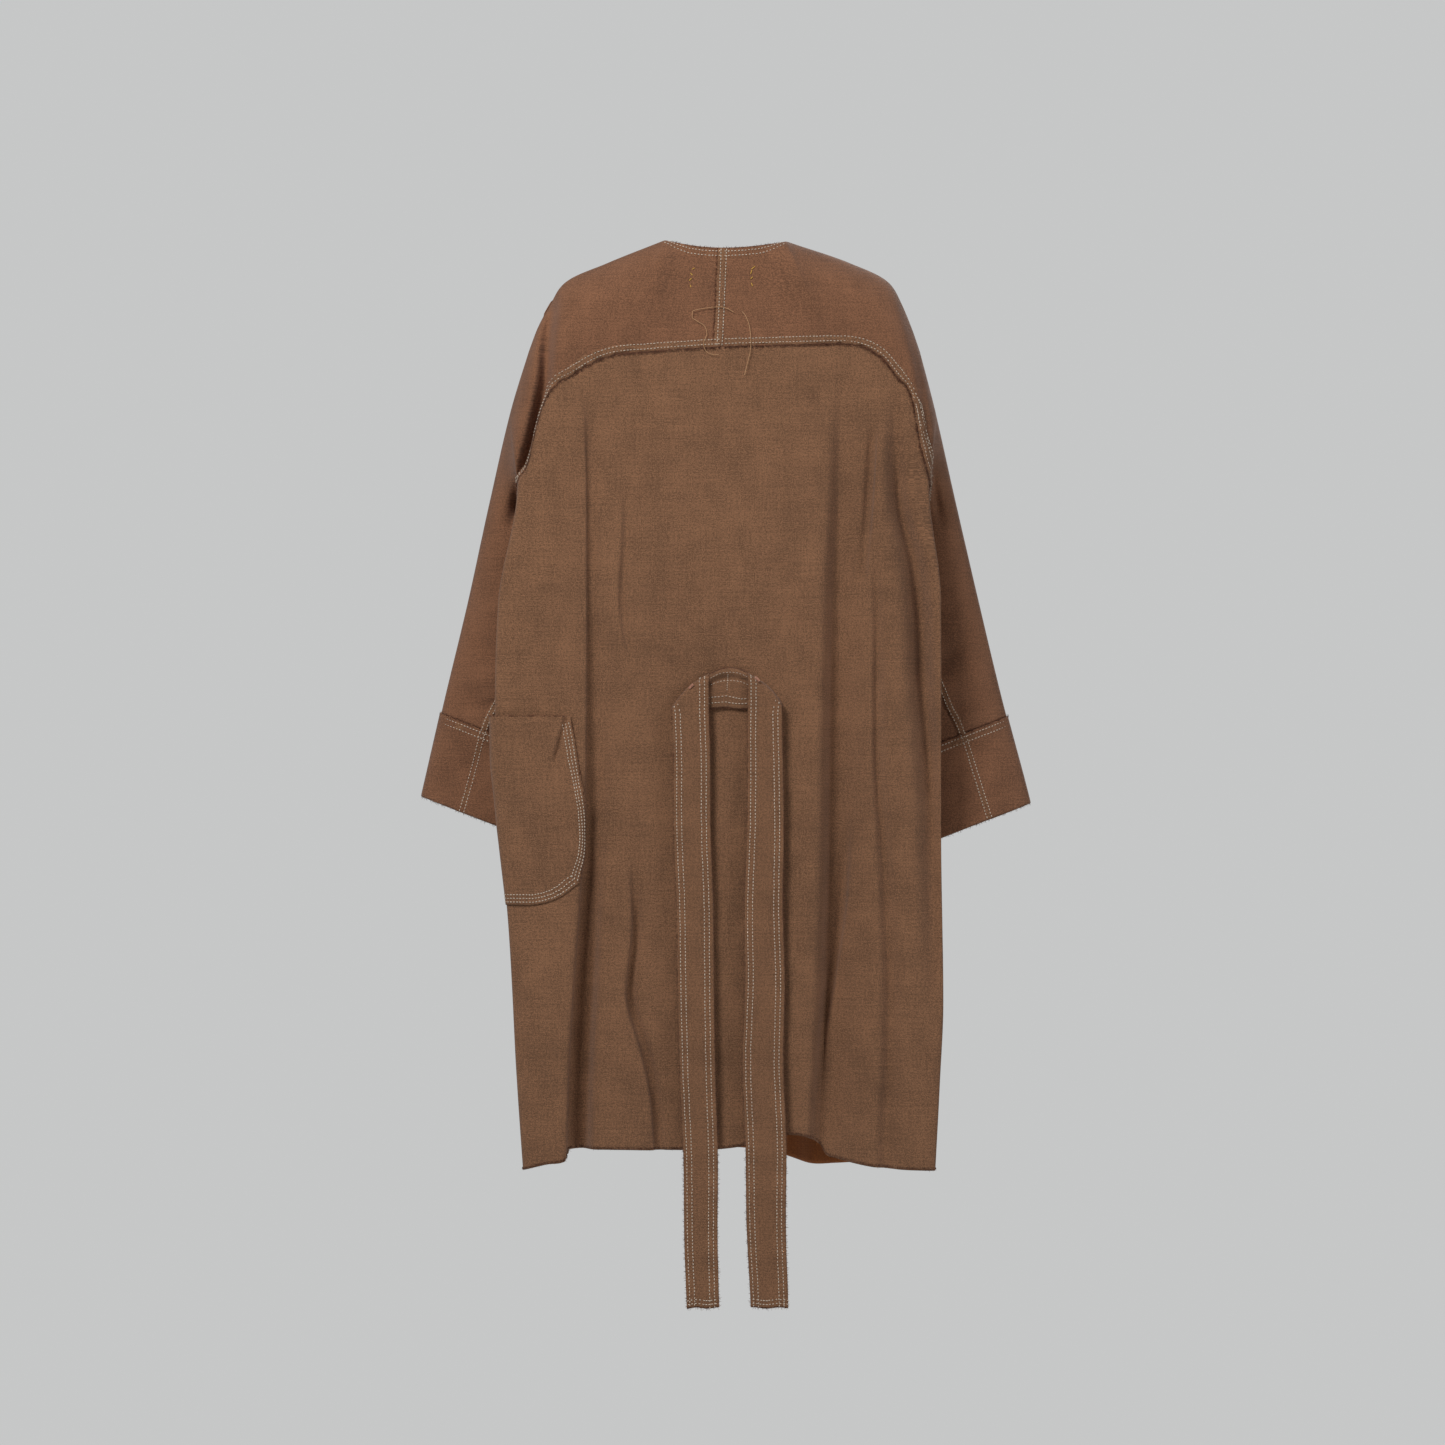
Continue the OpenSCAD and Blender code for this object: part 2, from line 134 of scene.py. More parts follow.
def smooth_line(points):
    """A smooth curve through a few (input, output) points that never swings past them."""
    xs, ys = np.array(sorted(points), float).T
    steps = np.diff(ys) / np.diff(xs)
    before, after = np.append(steps[:1], steps), np.append(steps, steps[-1:])
    limit = 3 * np.minimum(np.abs(before), np.abs(after)) * (before * after > 0)
    slopes = np.clip(np.gradient(ys, xs), -limit, limit)

    def value(x):
        x = np.clip(np.asarray(x, float), xs[0], xs[-1])
        i = np.clip(np.searchsorted(xs, x) - 1, 0, len(xs) - 2)
        h = xs[i + 1] - xs[i]
        t = (x - xs[i]) / h
        a = (1 + 2 * t) * (1 - t) ** 2 * ys[i] + t * (1 - t) ** 2 * h * slopes[i]
        return a + t * t * (3 - 2 * t) * ys[i + 1] + t * t * (t - 1) * h * slopes[i + 1]

    return value


def cubic(a, b, c, d, t):
    return a * (1 - t) ** 3 + 3 * b * t * (1 - t) ** 2 + 3 * c * t * t * (1 - t) + d * t ** 3


def flat_top(t, p):
    return np.maximum(0, 1 - clamp(np.abs(t)) ** p) ** (1 / p)


def ripple(a, b, size, seed, waves=14):
    """Smooth seeded unevenness over (a, b), about -1 to 1, with humps about size wide."""
    r = np.random.default_rng(seed)
    total = 0
    for _ in range(waves):
        angle, phase = r.uniform(0, math.tau, 2)
        pace = math.tau / (size * r.uniform(1.4, 2.8))
        total = total + np.sin((a * math.cos(angle) + b * math.sin(angle)) * pace + phase)
    return total / math.sqrt(waves)


def stack(*parts):
    return np.stack(np.broadcast_arrays(*parts), axis=-1)


def unit(v):
    return v / np.maximum(np.linalg.norm(v, axis=-1, keepdims=True), 1e-9)


# ---------------------------------------------------------------- folds in the hanging cloth
class Fold:
    """One long fold. Its line, width and depth are given by height; kind says which form it takes."""

    def __init__(self, kind, line, width, depth, reach=0.09, lean=0.0, skew=0.0):
        self.kind, self.reach, self.lean, self.skew = kind, reach, lean, skew
        self.line, self.width, self.depth = (smooth_line(p) for p in (line, width, depth))

    def shift(self, x, z):
        """Sideways and outward moves of the cloth at (x, z)."""
        w, d = self.width(z), self.depth(z)
        t = (x - self.line(z)) / w
        if self.kind in ("valley", "ridge"):
            t = t / (1 - self.skew * np.sign(t))
            way = 1 if self.kind == "valley" else -1
            shape = hill(t) ** (1 + 1.6 * abs(self.skew))
            return -self.lean * w * t * hill(t) * ease(d / 0.008), way * d * shape
        way = 1 if self.kind == "lap_left" else -1
        t = t * way
        raised = 0.5 * (1 - np.tanh(1.4 * t)) * hill(np.minimum(t, 0) * w / self.reach)
        under = 0.80 * hill((t - 1.8) / 1.4)
        return -way * self.lean * w * t * hill(t) * ease(d / 0.008), d * (under - raised)


BACK_FOLDS = (
    # the left side fold, which laps over the middle of the back
    Fold("lap_left", [(-1.08, -0.1795), (-0.965, -0.177), (-0.854, -0.1705), (-0.766, -0.164),
                      (-0.60, -0.157), (-0.418, -0.156), (-0.22, -0.158), (-0.14, -0.162)],
         [(-1.08, 0.0060), (-0.6, 0.0045), (-0.3, 0.0050), (-0.15, 0.010)],
         [(-1.08, 0.017), (-0.74, 0.014), (-0.6, 0.009), (-0.418, 0.006), (-0.22, 0.004), (-0.15, 0.0)],
         0.085, 1.3),
    Fold("valley", [(-1.06, -0.159), (-0.934, -0.155), (-0.843, -0.150), (-0.60, -0.137), (-0.40, -0.133)],
         [(-1.06, 0.0075), (-0.8, 0.0070), (-0.5, 0.010), (-0.40, 0.010)],
         [(-1.06, 0.0140), (-0.85, 0.0130), (-0.76, 0.007), (-0.6, 0.0060), (-0.45, 0.003), (-0.35, 0.0)]),
    # two thin creases left of the ties and under the yoke
    Fold("lap_left", [(-1.06, -0.078), (-0.9785, -0.085), (-0.934, -0.095), (-0.872, -0.111), (-0.79, -0.104),
                      (-0.72, -0.107)],
         [(-1.06, 0.0040), (-0.72, 0.0032)],
         [(-1.06, 0.0045), (-0.95, 0.0075), (-0.85, 0.0070), (-0.75, 0.004), (-0.71, 0.0)], 0.034, 1.2),
    Fold("lap_left", [(-0.50, -0.107), (-0.42, -0.119), (-0.33, -0.115), (-0.27, -0.116)],
         [(-0.50, 0.0028), (-0.27, 0.0028)],
         [(-0.50, 0.0), (-0.46, 0.0026), (-0.40, 0.0034), (-0.31, 0.0018), (-0.27, 0.0)], 0.034, 1.1),
    # the long folds of the right side
    Fold("valley", [(-1.06, 0.115), (-0.95, 0.119), (-0.75, 0.126), (-0.60, 0.128), (-0.42, 0.131),
                    (-0.20, 0.138)],
         [(-1.06, 0.031), (-0.5, 0.031), (-0.13, 0.026)],
         [(-1.06, 0.030), (-0.8, 0.030), (-0.5, 0.026), (-0.3, 0.015), (-0.17, 0.003), (-0.13, 0.0)],
         skew=-0.55),
    Fold("lap_right", [(-1.06, 0.110), (-0.95, 0.117), (-0.75, 0.145), (-0.66, 0.148)],
         [(-1.06, 0.0035), (-0.66, 0.0035)],
         [(-1.06, 0.0060), (-0.9, 0.0045), (-0.75, 0.004), (-0.66, 0.0)], 0.030, 1.0),
    Fold("valley", [(-1.05, 0.187), (-0.88, 0.192), (-0.74, 0.187), (-0.60, 0.1785), (-0.42, 0.1775),
                    (-0.33, 0.172)],
         [(-1.05, 0.013), (-0.6, 0.0090), (-0.3, 0.0065)],
         [(-1.05, 0.0090), (-0.8, 0.0100), (-0.5, 0.0080), (-0.38, 0.004), (-0.30, 0.0)], skew=-0.25),
    Fold("lap_right", [(-0.41, 0.1655), (-0.30, 0.174), (-0.20, 0.1795)],
         [(-0.41, 0.0035), (-0.20, 0.0035)],
         [(-0.41, 0.0), (-0.37, 0.0040), (-0.26, 0.0055), (-0.20, 0.0)], 0.020, 1.0),
    Fold("valley", [(-0.86, 0.243), (-0.75, 0.242), (-0.60, 0.2375), (-0.51, 0.2305), (-0.42, 0.2265),
                    (-0.38, 0.221), (-0.31, 0.2045), (-0.20, 0.1985)],
         [(-0.90, 0.010), (-0.6, 0.0135), (-0.4, 0.013), (-0.3, 0.010), (-0.2, 0.009)],
         [(-0.92, 0.0), (-0.80, 0.010), (-0.6, 0.024), (-0.45, 0.026), (-0.33, 0.018), (-0.24, 0.009),
          (-0.17, 0.0)]),
)
EDGE_LEFT = smooth_line([(-1.08, 0.229), (-0.974, 0.2365), (-0.79, 0.247), (-0.70, 0.255), (-0.60, 0.2625),
                         (-0.42, 0.2585), (-0.286, 0.237), (-0.12, 0.237)])
EDGE_RIGHT = smooth_line([(-1.08, 0.245), (-0.974, 0.2505), (-0.88, 0.2545), (-0.70, 0.2525), (-0.42, 0.252),
                          (-0.286, 0.2385), (-0.12, 0.2385)])
BACK_HEM = smooth_line([(-0.262, -1.079), (-0.245, -1.077), (-0.200, -1.066), (-0.1800, -1.0625),
                        (-0.1775, -1.0515), (-0.160, -1.0505), (-0.05, -1.0510), (0.02, -1.047),
                        (0.072, -1.0336), (0.1125, -1.0455), (0.1195, -1.058), (0.133, -1.0626),
                        (0.157, -1.068), (0.245, -1.0753), (0.262, -1.0755)])


# ---------------------------------------------------------------- the garment's surfaces
def half_width(side, z):
    return np.where(side < 0, EDGE_LEFT(z), EDGE_RIGHT(z))


def middle_depth(z):
    return mix(-0.058, -0.070, ease((YOKE_Z - z) / 0.30))


def tip_depth(z):
    return mix(-0.044, -0.052, ease((SEAM_END[1] - z) / 0.134))


def side_seam(z):
    """Place of the right side seam at height z, from the armpit down to the hinge line of the front."""
    t = clamp((-0.338 - z) / (1.064 - 0.338))
    near = ease((ARMPIT[2] - z) / 0.085)
    return mix(ARMPIT[0], mix(0.180, 0.172, t), near), mix(ARMPIT[1], mix(-0.026, -0.002, t), near)


YOKE_SEAM = {
    -1: smooth_line([(0, -0.1265), (0.214, -0.132), (0.41, -0.1415), (0.503, -0.1566), (0.647, -0.184),
                     (0.706, -0.213), (0.760, -0.250), (0.90, -0.278), (1, -0.286)]),
    1: smooth_line([(0, -0.1265), (0.207, -0.1245), (0.394, -0.1235), (0.494, -0.1288), (0.554, -0.138),
                    (0.635, -0.160), (0.745, -0.190), (0.800, -0.232), (0.90, -0.268), (1, -0.286)]),
}


def back_top(s):
    """Height of the seam between yoke and back panel; it passes under the arm past TURN."""
    share = clamp(np.abs(s) / TURN)
    over = np.where(s < 0, YOKE_SEAM[-1](share), YOKE_SEAM[1](share))
    under = mix(SEAM_END[1], ARMPIT[2], np.sin(clamp((np.abs(s) - TURN) / (1 - TURN)) * QUARTER_TURN))
    return np.where(np.abs(s) <= TURN, over, under)


def back_at(s, z):
    """The back's surface: s runs from the left side seam (-1) by the middle (0) to the right one (1)."""
    side, a = np.sign(s), np.abs(s)
    w = half_width(side, z)
    r = np.sin(clamp(a / TURN) * QUARTER_TURN)
    b = clamp((a - TURN) / (1 - TURN)) * QUARTER_TURN
    seam_x, seam_y = side_seam(z)
    on_flat = a <= TURN
    x = np.where(on_flat, w * r, mix(seam_x, w, np.cos(b))) * side
    tip = tip_depth(z)
    across_flat = mix(tip, middle_depth(z), flat_top(r, np.where(s > 0, 9.0, 5.0)))
    y = np.where(on_flat, across_flat, mix(tip, seam_y, np.sin(b)))
    calm = ease((back_top(s) - z) / 0.05) * np.where(on_flat, 1, np.cos(b))
    dx, dy = 0, 0
    for fold in BACK_FOLDS:
        fx, fy = fold.shift(x, z)
        dx, dy = dx + fx, dy + fy
    fade = np.where(on_flat, 1, np.cos(b) ** 2)
    y = y + dy * fade
    x = x + dx * fade
    y = y + calm * (0.0012 * ripple(x, z * 0.35, 0.055, 3) + 0.0004 * ripple(x, z, 0.016, 4))
    return stack(x, y, z)


def back_surface(s, v):
    top = back_top(s)
    hem = BACK_HEM(back_at(s, top - 0.9)[..., 0])
    return back_at(s, mix(top, hem, v))


def front_at(s, z, side):
    """The front's surface: s runs from the front edge (0) to the side seam (1)."""
    seam_x, seam_y = side_seam(z)
    x = cubic(*FRONT_ACROSS, seam_x, s)
    y = cubic(0.062, 0.062, 0.030, seam_y, s)
    low = ease((-0.2 - z) / 0.5)
    calm = np.clip(s * 12, 0.15, 1) * (1 - s ** 6)
    waves = 0.007 * np.sin(x * 78 + 1.2 * side + 1.5 * z) + 0.003 * np.sin(x * 170 - 2 * z)
    y = y - low * calm * (waves + 0.004) + 0.0010 * calm * ripple(x * side, z * 0.4, 0.05, 7 + side)
    return stack(x * side, y, z)


def front_top(s):
    edge = FRONT_ACROSS[0]
    share = (cubic(*FRONT_ACROSS, ARMPIT[0], s) - edge) / (ARMPIT[0] - edge)
    return ARMPIT[2] + (FRONT_YOKE_Z - ARMPIT[2]) * flat_top(share, 2.6)


def front_surface(side):
    def at(s, v):
        hem = hem_front + 0.002 * np.sin(s * 9) + np.where(side < 0, 0.007, 0.002 - 0.014 * ease(s / 0.45))
        return front_at(s, mix(front_top(s), hem, v), side)

    return at


OUTER = {
    -1: smooth_line([(-0.72, 0.3695), (-0.65, 0.3530), (-0.534, 0.326), (-0.418, 0.298), (-0.302, 0.2726),
                     (-0.186, 0.2448), (-0.125, 0.2258)]),
    1: smooth_line([(-0.72, 0.3760), (-0.65, 0.3590), (-0.534, 0.328), (-0.418, 0.300), (-0.302, 0.2730),
                    (-0.186, 0.2462), (-0.125, 0.2300)]),
}
NECK_POINT = {-1: (0.0684, 0.003), 1: (0.0760, 0.0015)}
SHOULDER_LINE = {
    -1: ((0.28, 0.1346, -0.0232), (0.52, 0.1844, -0.0464), (0.68, 0.2007, -0.0696), (0.86, 0.2160, -0.0990)),
    1: ((0.28, 0.1485, -0.0232), (0.52, 0.1945, -0.0464), (0.68, 0.2088, -0.0696), (0.86, 0.2210, -0.0990)),
}


def ridge(q, side):
    """Shoulder line: the neck point at NECK, the curve's end at SHOULDER, then the sleeve's outer edge."""
    t = clamp((q - NECK) / (SHOULDER - NECK))
    points = [(0, *NECK_POINT[side]), *SHOULDER_LINE[side], (1, float(OUTER[side](SHOULDER_Z)), SHOULDER_Z)]
    x, z = (smooth_line([(p[0], p[k]) for p in points])(t) for k in (1, 2))
    y = cubic(0.0, 0.002, 0.004, 0.006, t)
    arm_t = clamp((q - SHOULDER) / (1 - SHOULDER))
    arm_z = mix(SHOULDER_Z, SWING_Z, arm_t)
    past = q > SHOULDER
    return stack(np.where(past, OUTER[side](arm_z), x), np.where(past, mix(0.006, 0.014, arm_t), y),
                 np.where(past, arm_z, z))


def back_neck(q, side):
    r = clamp(q / NECK)
    x, z = NECK_POINT[side]
    return stack(x * r, -0.038 * np.sqrt(1 - r * r), z - (z + 0.0095) * (1 - r * r))


def front_neck(q, side):
    a = clamp(q / NECK) * QUARTER_TURN
    x, z = NECK_POINT[side]
    return stack(mix(FRONT_ACROSS[0], x, np.sin(a)), 0.046 * np.cos(a), mix(z, -0.092, np.cos(a)))


def sleeve_edges(t, side):
    """Outer and inner edge of the flat sleeve: t is 0 at the swing line, 1 at the cuff seam, 2 at the end."""
    edge, drop = OUTER[side], np.where(side < 0, 0.0, 0.004)
    seam_z, end_z = -0.5485 - drop, -0.646 - 2 * drop
    low = clamp(t - 1)
    z = np.where(t <= 1, mix(SWING_Z, seam_z, clamp(t)), mix(seam_z, end_z, low))
    out = stack(edge(z), mix(0.014, 0.020, t / 2), z)
    seam_in = stack(0.206 + 0 * z, 0 * z, seam_z - (edge(seam_z) - 0.206) * 0.384)
    end_in = stack(edge(end_z) - 0.1494, 0 * z, end_z - 0.0573)
    start_in = stack(ARMPIT[0] + 0 * z, 0 * z, ARMPIT[2] + 0 * z)
    a = clamp(t)[..., None]
    inner = np.where((t <= 1)[..., None], mix(start_in, seam_in, a), mix(seam_in, end_in, low[..., None]))
    return out, inner


def tube(t, angle, side):
    """A point of the sleeve or cuff; angle 0 is its outer edge, and the back is negative."""
    t, angle = np.broadcast_arrays(np.asarray(t, float), np.asarray(angle, float))
    out, inner = sleeve_edges(t, side)
    half_d = smooth_line([(0, 0.031), (1, 0.026), (2, 0.024)])(t)
    centre, half = (out + inner) / 2, (out - inner) / 2
    cos, sin = np.cos(angle), np.sin(angle)
    x = centre[..., 0] + half[..., 0] * cos
    z = centre[..., 2] + half[..., 2] * cos
    y = mix(0.013, 0.020, t / 2) + half_d * np.sign(sin) * np.abs(sin) ** 0.8
    flat = np.abs(sin) * ease(t * 3)
    crease = 0.0045 * hill((t - 0.86 - 0.10 * cos) / 0.035) * hill((cos + 0.1) / 0.55)
    crease = crease + 0.003 * hill((t - 0.62 + 0.12 * cos) / 0.05) * hill((cos - 0.1) / 0.5)
    crease = crease - 0.003 * hill((t - 0.74 - 0.05 * cos) / 0.06)
    y = y + flat * np.where(sin < 0, 1, -1) * crease * np.where(side < 0, 1, 0.8)
    y = y + flat * (0.0016 * ripple(x + z * 0.3, z, 0.045, 20 + side)
                    + 0.0004 * ripple(x, z, 0.016, 24 + side))
    return stack(x, y, z)


def seam_angle(t):
    """Where the underarm seam lies on the back of the sleeve: from the inner edge to past the middle."""
    share = np.where(t <= 1, mix(1.0, 0.41, clamp(t)), mix(0.41, 0.32, clamp(t - 1)))
    return np.arccos(np.clip(1 - 2 * share, -1, 1))


# line, width and depth of the fold that runs down from each shoulder
SHOULDER_TUCK = {
    -1: (smooth_line([(-0.34, 0.246), (-0.262, 0.2265), (-0.1775, 0.2075), (-0.104, 0.2015),
                      (-0.055, 0.196)]), 0.0085, 0.021),
    1: (smooth_line([(-0.34, 0.256), (-0.22, 0.2360), (-0.18, 0.2310), (-0.116, 0.2190),
                     (-0.055, 0.206)]), 0.0055, 0.005),
}


def arm_at(q, c, side):
    """Yoke and sleeve in one cloth.

    q runs from the neck (0) by the armpit (1) to the cuff seam (2), and c from the back's seam (-1) over the
    shoulder (0) to the front's (1).
    """
    mirror = np.array([side, 1, 1])
    q, c = np.broadcast_arrays(np.asarray(q, float), np.asarray(c, float))
    a, back = np.abs(c), c < 0
    qq = clamp(q)
    neck = np.where(back[..., None], back_neck(qq, side), front_neck(qq, side))
    top = np.where((qq < NECK)[..., None], neck, ridge(qq, side))
    back_foot = back_at(qq * 0.999999 * side, back_top(qq * side)) * mirror
    front_foot = front_at(qq, front_top(qq), side) * mirror
    foot = np.where(back[..., None], back_foot, front_foot)
    fold, arm = ease(1 + (qq - NECK) / 0.15), ease((qq - TURN) / (1 - TURN))
    half = (1 - np.cos(math.pi * a)) / 2
    down = mix(a, mix(1 - np.cos(a * QUARTER_TURN), half, arm), fold)
    deep = mix(a, mix(np.sin(a * QUARTER_TURN), half, arm), fold)
    x, z = mix(top[..., 0], foot[..., 0], down), mix(top[..., 2], foot[..., 2], down)
    way = np.where(back, -1, 1)
    bow = np.maximum(np.sin(math.pi * a), 0)
    y = mix(top[..., 1], foot[..., 1], deep) + way * 0.031 * arm * bow ** 0.8
    y = y + way * (1 - arm) * 0.006 * bow * fold
    soft = bow * fold * (1 - ease((q - 0.85) / 0.15))
    y = y + soft * (0.0012 * ripple(x * side, z, 0.05, 12 + side) + 0.0004 * ripple(x, z, 0.016, 15))
    tuck_line, tuck_width, tuck_depth = SHOULDER_TUCK[side]
    tuck = tuck_depth * hill((x - tuck_line(z)) / tuck_width)
    tuck = tuck * ease((-0.055 - z) / 0.03) * ease((z + 0.345) / 0.05)
    y = y + np.where(back, tuck, 0) * np.minimum(soft * 6, 1)
    yoke = stack(x * side, y, z)
    t = clamp(q - 1)
    angle = np.where(back, -seam_angle(t) * a, (math.tau - seam_angle(t)) * a)
    sleeve = tube(t, angle, side) * mirror
    return np.where((q <= 1)[..., None], yoke, sleeve)


def normals(f, a, b, step=1e-4):
    da = f(a + step, b) - f(a - step, b)
    db = f(a, b + step) - f(a, b - step)
    return unit(np.cross(da, db))


# ---------------------------------------------------------------- meshes
def mesh_object(name, verts, faces, uvs=None):
    """A mesh from arrays of points and faces. uvs holds one pair for each vertex."""
    data = bpy.data.meshes.new(name)
    count, size = faces.shape
    flat = faces.ravel().astype(np.int32)
    data.vertices.add(len(verts))
    data.vertices.foreach_set("co", np.asarray(verts, np.float32).ravel())
    data.loops.add(len(flat))
    data.loops.foreach_set("vertex_index", flat)
    data.polygons.add(count)
    data.polygons.foreach_set("loop_start", np.arange(count, dtype=np.int32) * size)
    data.polygons.foreach_set("loop_total", np.full(count, size, np.int32))
    if uvs is not None:
        layer = data.uv_layers.new(name="cloth")
        layer.data.foreach_set("uv", np.asarray(uvs, np.float32)[flat].ravel())
    data.polygons.foreach_set("use_smooth", np.full(count, True))
    data.update(calc_edges=True)
    data.validate()
    obj = bpy.data.objects.new(name, data)
    bpy.context.collection.objects.link(obj)
    return obj


def grid_faces(rows, columns, flip=False):
    a = (np.arange(rows - 1)[:, None] * columns + np.arange(columns - 1)[None, :]).ravel()
    quad = np.stack([a, a + 1, a + columns + 1, a + columns], axis=1)
    return quad[:, ::-1] if flip else quad


def cloth_uv(points):
    """Cloth coordinates in metres: across the cloth and down it, for the materials' yarns."""
    return np.stack([points[..., 0] + points[..., 1], points[..., 2]], axis=-1)


def weld(obj, distance=2e-6):
    work = bmesh.new()
    work.from_mesh(obj.data)
    bmesh.ops.remove_doubles(work, verts=work.verts, dist=distance)
    work.to_mesh(obj.data)
    work.free()


def cloth(obj, outer, inner=None, thickness=CLOTH):
    """Gives a sheet its two faces and its thickness."""
    obj.data.materials.append(outer)
    obj.data.materials.append(inner or outer)
    solid = obj.modifiers.new("thickness", "SOLIDIFY")
    solid.thickness = thickness
    solid.offset = -1
    solid.use_even_offset = False
    solid.material_offset = 1
    solid.material_offset_rim = 0
    return obj


def laid_flat(points):
    """Cloth coordinates of a grid: the way across is measured along the cloth, from its middle column."""
    steps = np.diff(points[..., :2], axis=1, prepend=points[:, :1, :2])
    across = np.cumsum(np.hypot(*np.moveaxis(steps, 2, 0)), axis=1)
    return stack(across - across[:, points.shape[1] // 2, None], points[..., 2])


def sheet_grid(name, f, us, vs, flip=False):
    """A sheet on the surface f over the grid of us and vs."""
    u, v = np.meshgrid(us, vs)
    points = f(u, v)
    rows, columns = u.shape
    return mesh_object(name, points.reshape(-1, 3), grid_faces(rows, columns, flip),
                       laid_flat(points).reshape(-1, 2))


# ---------------------------------------------------------------- materials
# humps a metre across the cloth and down it, and detail, of its dye, patches, slubs, long slubs, warp yarns,
# flecks and grain
UNEVENNESS = ((7, 5, 4), (34, 26, 3), (26, 620, 2), (7, 300, 1), (560, 30, 2), (330, 480, 3), (800, 900, 2))


def noise(nodes, links, uv, across, down, detail):
    """Unevenness of the cloth with this many humps a metre across it and down it."""
    scale = nodes.new("ShaderNodeMapping")
    scale.inputs["Scale"].default_value = (across, down, 1)
    links.new(uv, scale.inputs["Vector"])
    texture = nodes.new("ShaderNodeTexNoise")
    texture.noise_dimensions = "2D"
    texture.inputs["Scale"].default_value = 1.0
    texture.inputs["Detail"].default_value = detail
    links.new(scale.outputs["Vector"], texture.inputs["Vector"])
    return texture.outputs["Fac"]


def weighted(nodes, links, terms):
    """0.5 plus each (input - 0.5) times its weight."""
    total = None
    for value, weight in terms:
        part = nodes.new("ShaderNodeMath")
        part.operation = "MULTIPLY_ADD"
        links.new(value, part.inputs[0])
        part.inputs[1].default_value = weight
        if total is None:
            part.inputs[2].default_value = 0.5 - 0.5 * sum(w for _, w in terms)
        else:
            links.new(total, part.inputs[2])
        total = part.outputs[0]
    return total


def cloth_material(name, dark, light, slub=0.9, blot=0.9, bump=0.5):
    """Washed linen: slubs across, finer warp yarns down, uneven dye, and a dry matt face."""
    material = bpy.data.materials.new(name)
    material.use_nodes = True
    nodes, links = material.node_tree.nodes, material.node_tree.links
    shader = nodes["Principled BSDF"]
    for key, value in (("Roughness", 0.93), ("Specular IOR Level", 0.25), ("Sheen Weight", 0.10),
                       ("Sheen Roughness", 0.6)):
        shader.inputs[key].default_value = value
    uv_map = nodes.new("ShaderNodeUVMap")
    uv_map.uv_map = "cloth"
    uv = uv_map.outputs["UV"]
    dye, patch, slubs, long_slubs, warp, fleck, grain = (noise(nodes, links, uv, *row) for row in UNEVENNESS)
    tone = weighted(nodes, links, [(dye, 0.7 * blot), (patch, 0.7 * blot), (slubs, 0.60 * slub),
                                   (long_slubs, 0.25 * slub), (warp, 0.50 * slub), (fleck, 1.5 * slub),
                                   (grain, 3.0 * slub)])
    colour = nodes.new("ShaderNodeMix")
    colour.data_type = "RGBA"
    colour.clamp_factor = True
    links.new(tone, colour.inputs["Factor"])
    colour.inputs["A"].default_value = (*dark, 1)
    colour.inputs["B"].default_value = (*light, 1)
    links.new(colour.outputs["Result"], shader.inputs["Base Color"])
    height = weighted(nodes, links, [(slubs, 1.0), (warp, 0.7), (grain, 0.9)])
    relief = nodes.new("ShaderNodeBump")
    relief.inputs["Strength"].default_value = bump
    relief.inputs["Distance"].default_value = 0.0009
    links.new(height, relief.inputs["Height"])
    links.new(relief.outputs["Normal"], shader.inputs["Normal"])
    return material


def scaled(colour, share):
    return tuple(c * share for c in colour)


BODY = (0.226, 0.110, 0.055)
ARM = (0.215, 0.096, 0.048)
RUST = (0.36, 0.12, 0.035)
body_cloth = cloth_material("body_cloth", scaled(BODY, 0.62), scaled(BODY, 1.40))
arm_cloth = cloth_material("arm_cloth", scaled(ARM, 0.64), scaled(ARM, 1.38))
rust_cloth = cloth_material("rust_inside", scaled(RUST, 0.72), scaled(RUST, 1.28), slub=0.6)
facing_cloth = cloth_material("facing_cloth", scaled(ARM, 0.62), scaled(ARM, 1.2))
seam_cloth = cloth_material("seam_cloth", scaled(BODY, 0.62), scaled(BODY, 1.3), slub=1.2)
belt_cloth = cloth_material("belt_cloth", scaled(BODY, 0.66), scaled(BODY, 1.30))
pale_thread = cloth_material("pale_thread", (0.54, 0.44, 0.34), (0.82, 0.70, 0.57), slub=0.5, bump=0.2)
ochre_thread = cloth_material("ochre_thread", (0.58, 0.31, 0.05), (0.78, 0.48, 0.10), slub=0.5, bump=0.2)
tan_thread = cloth_material("tan_thread", (0.48, 0.26, 0.12), (0.64, 0.38, 0.20), slub=0.5, bump=0.2)
raw_yarn = cloth_material("raw_yarn", (0.085, 0.030, 0.015), (0.235, 0.090, 0.045), slub=0.8, bump=0.2)
rust_thread = cloth_material("rust_thread", (0.42, 0.17, 0.10), (0.66, 0.38, 0.28), slub=0.5, bump=0.2)
label_cloth = cloth_material("label_cloth", (0.52, 0.49, 0.43), (0.70, 0.67, 0.60), slub=0.5)


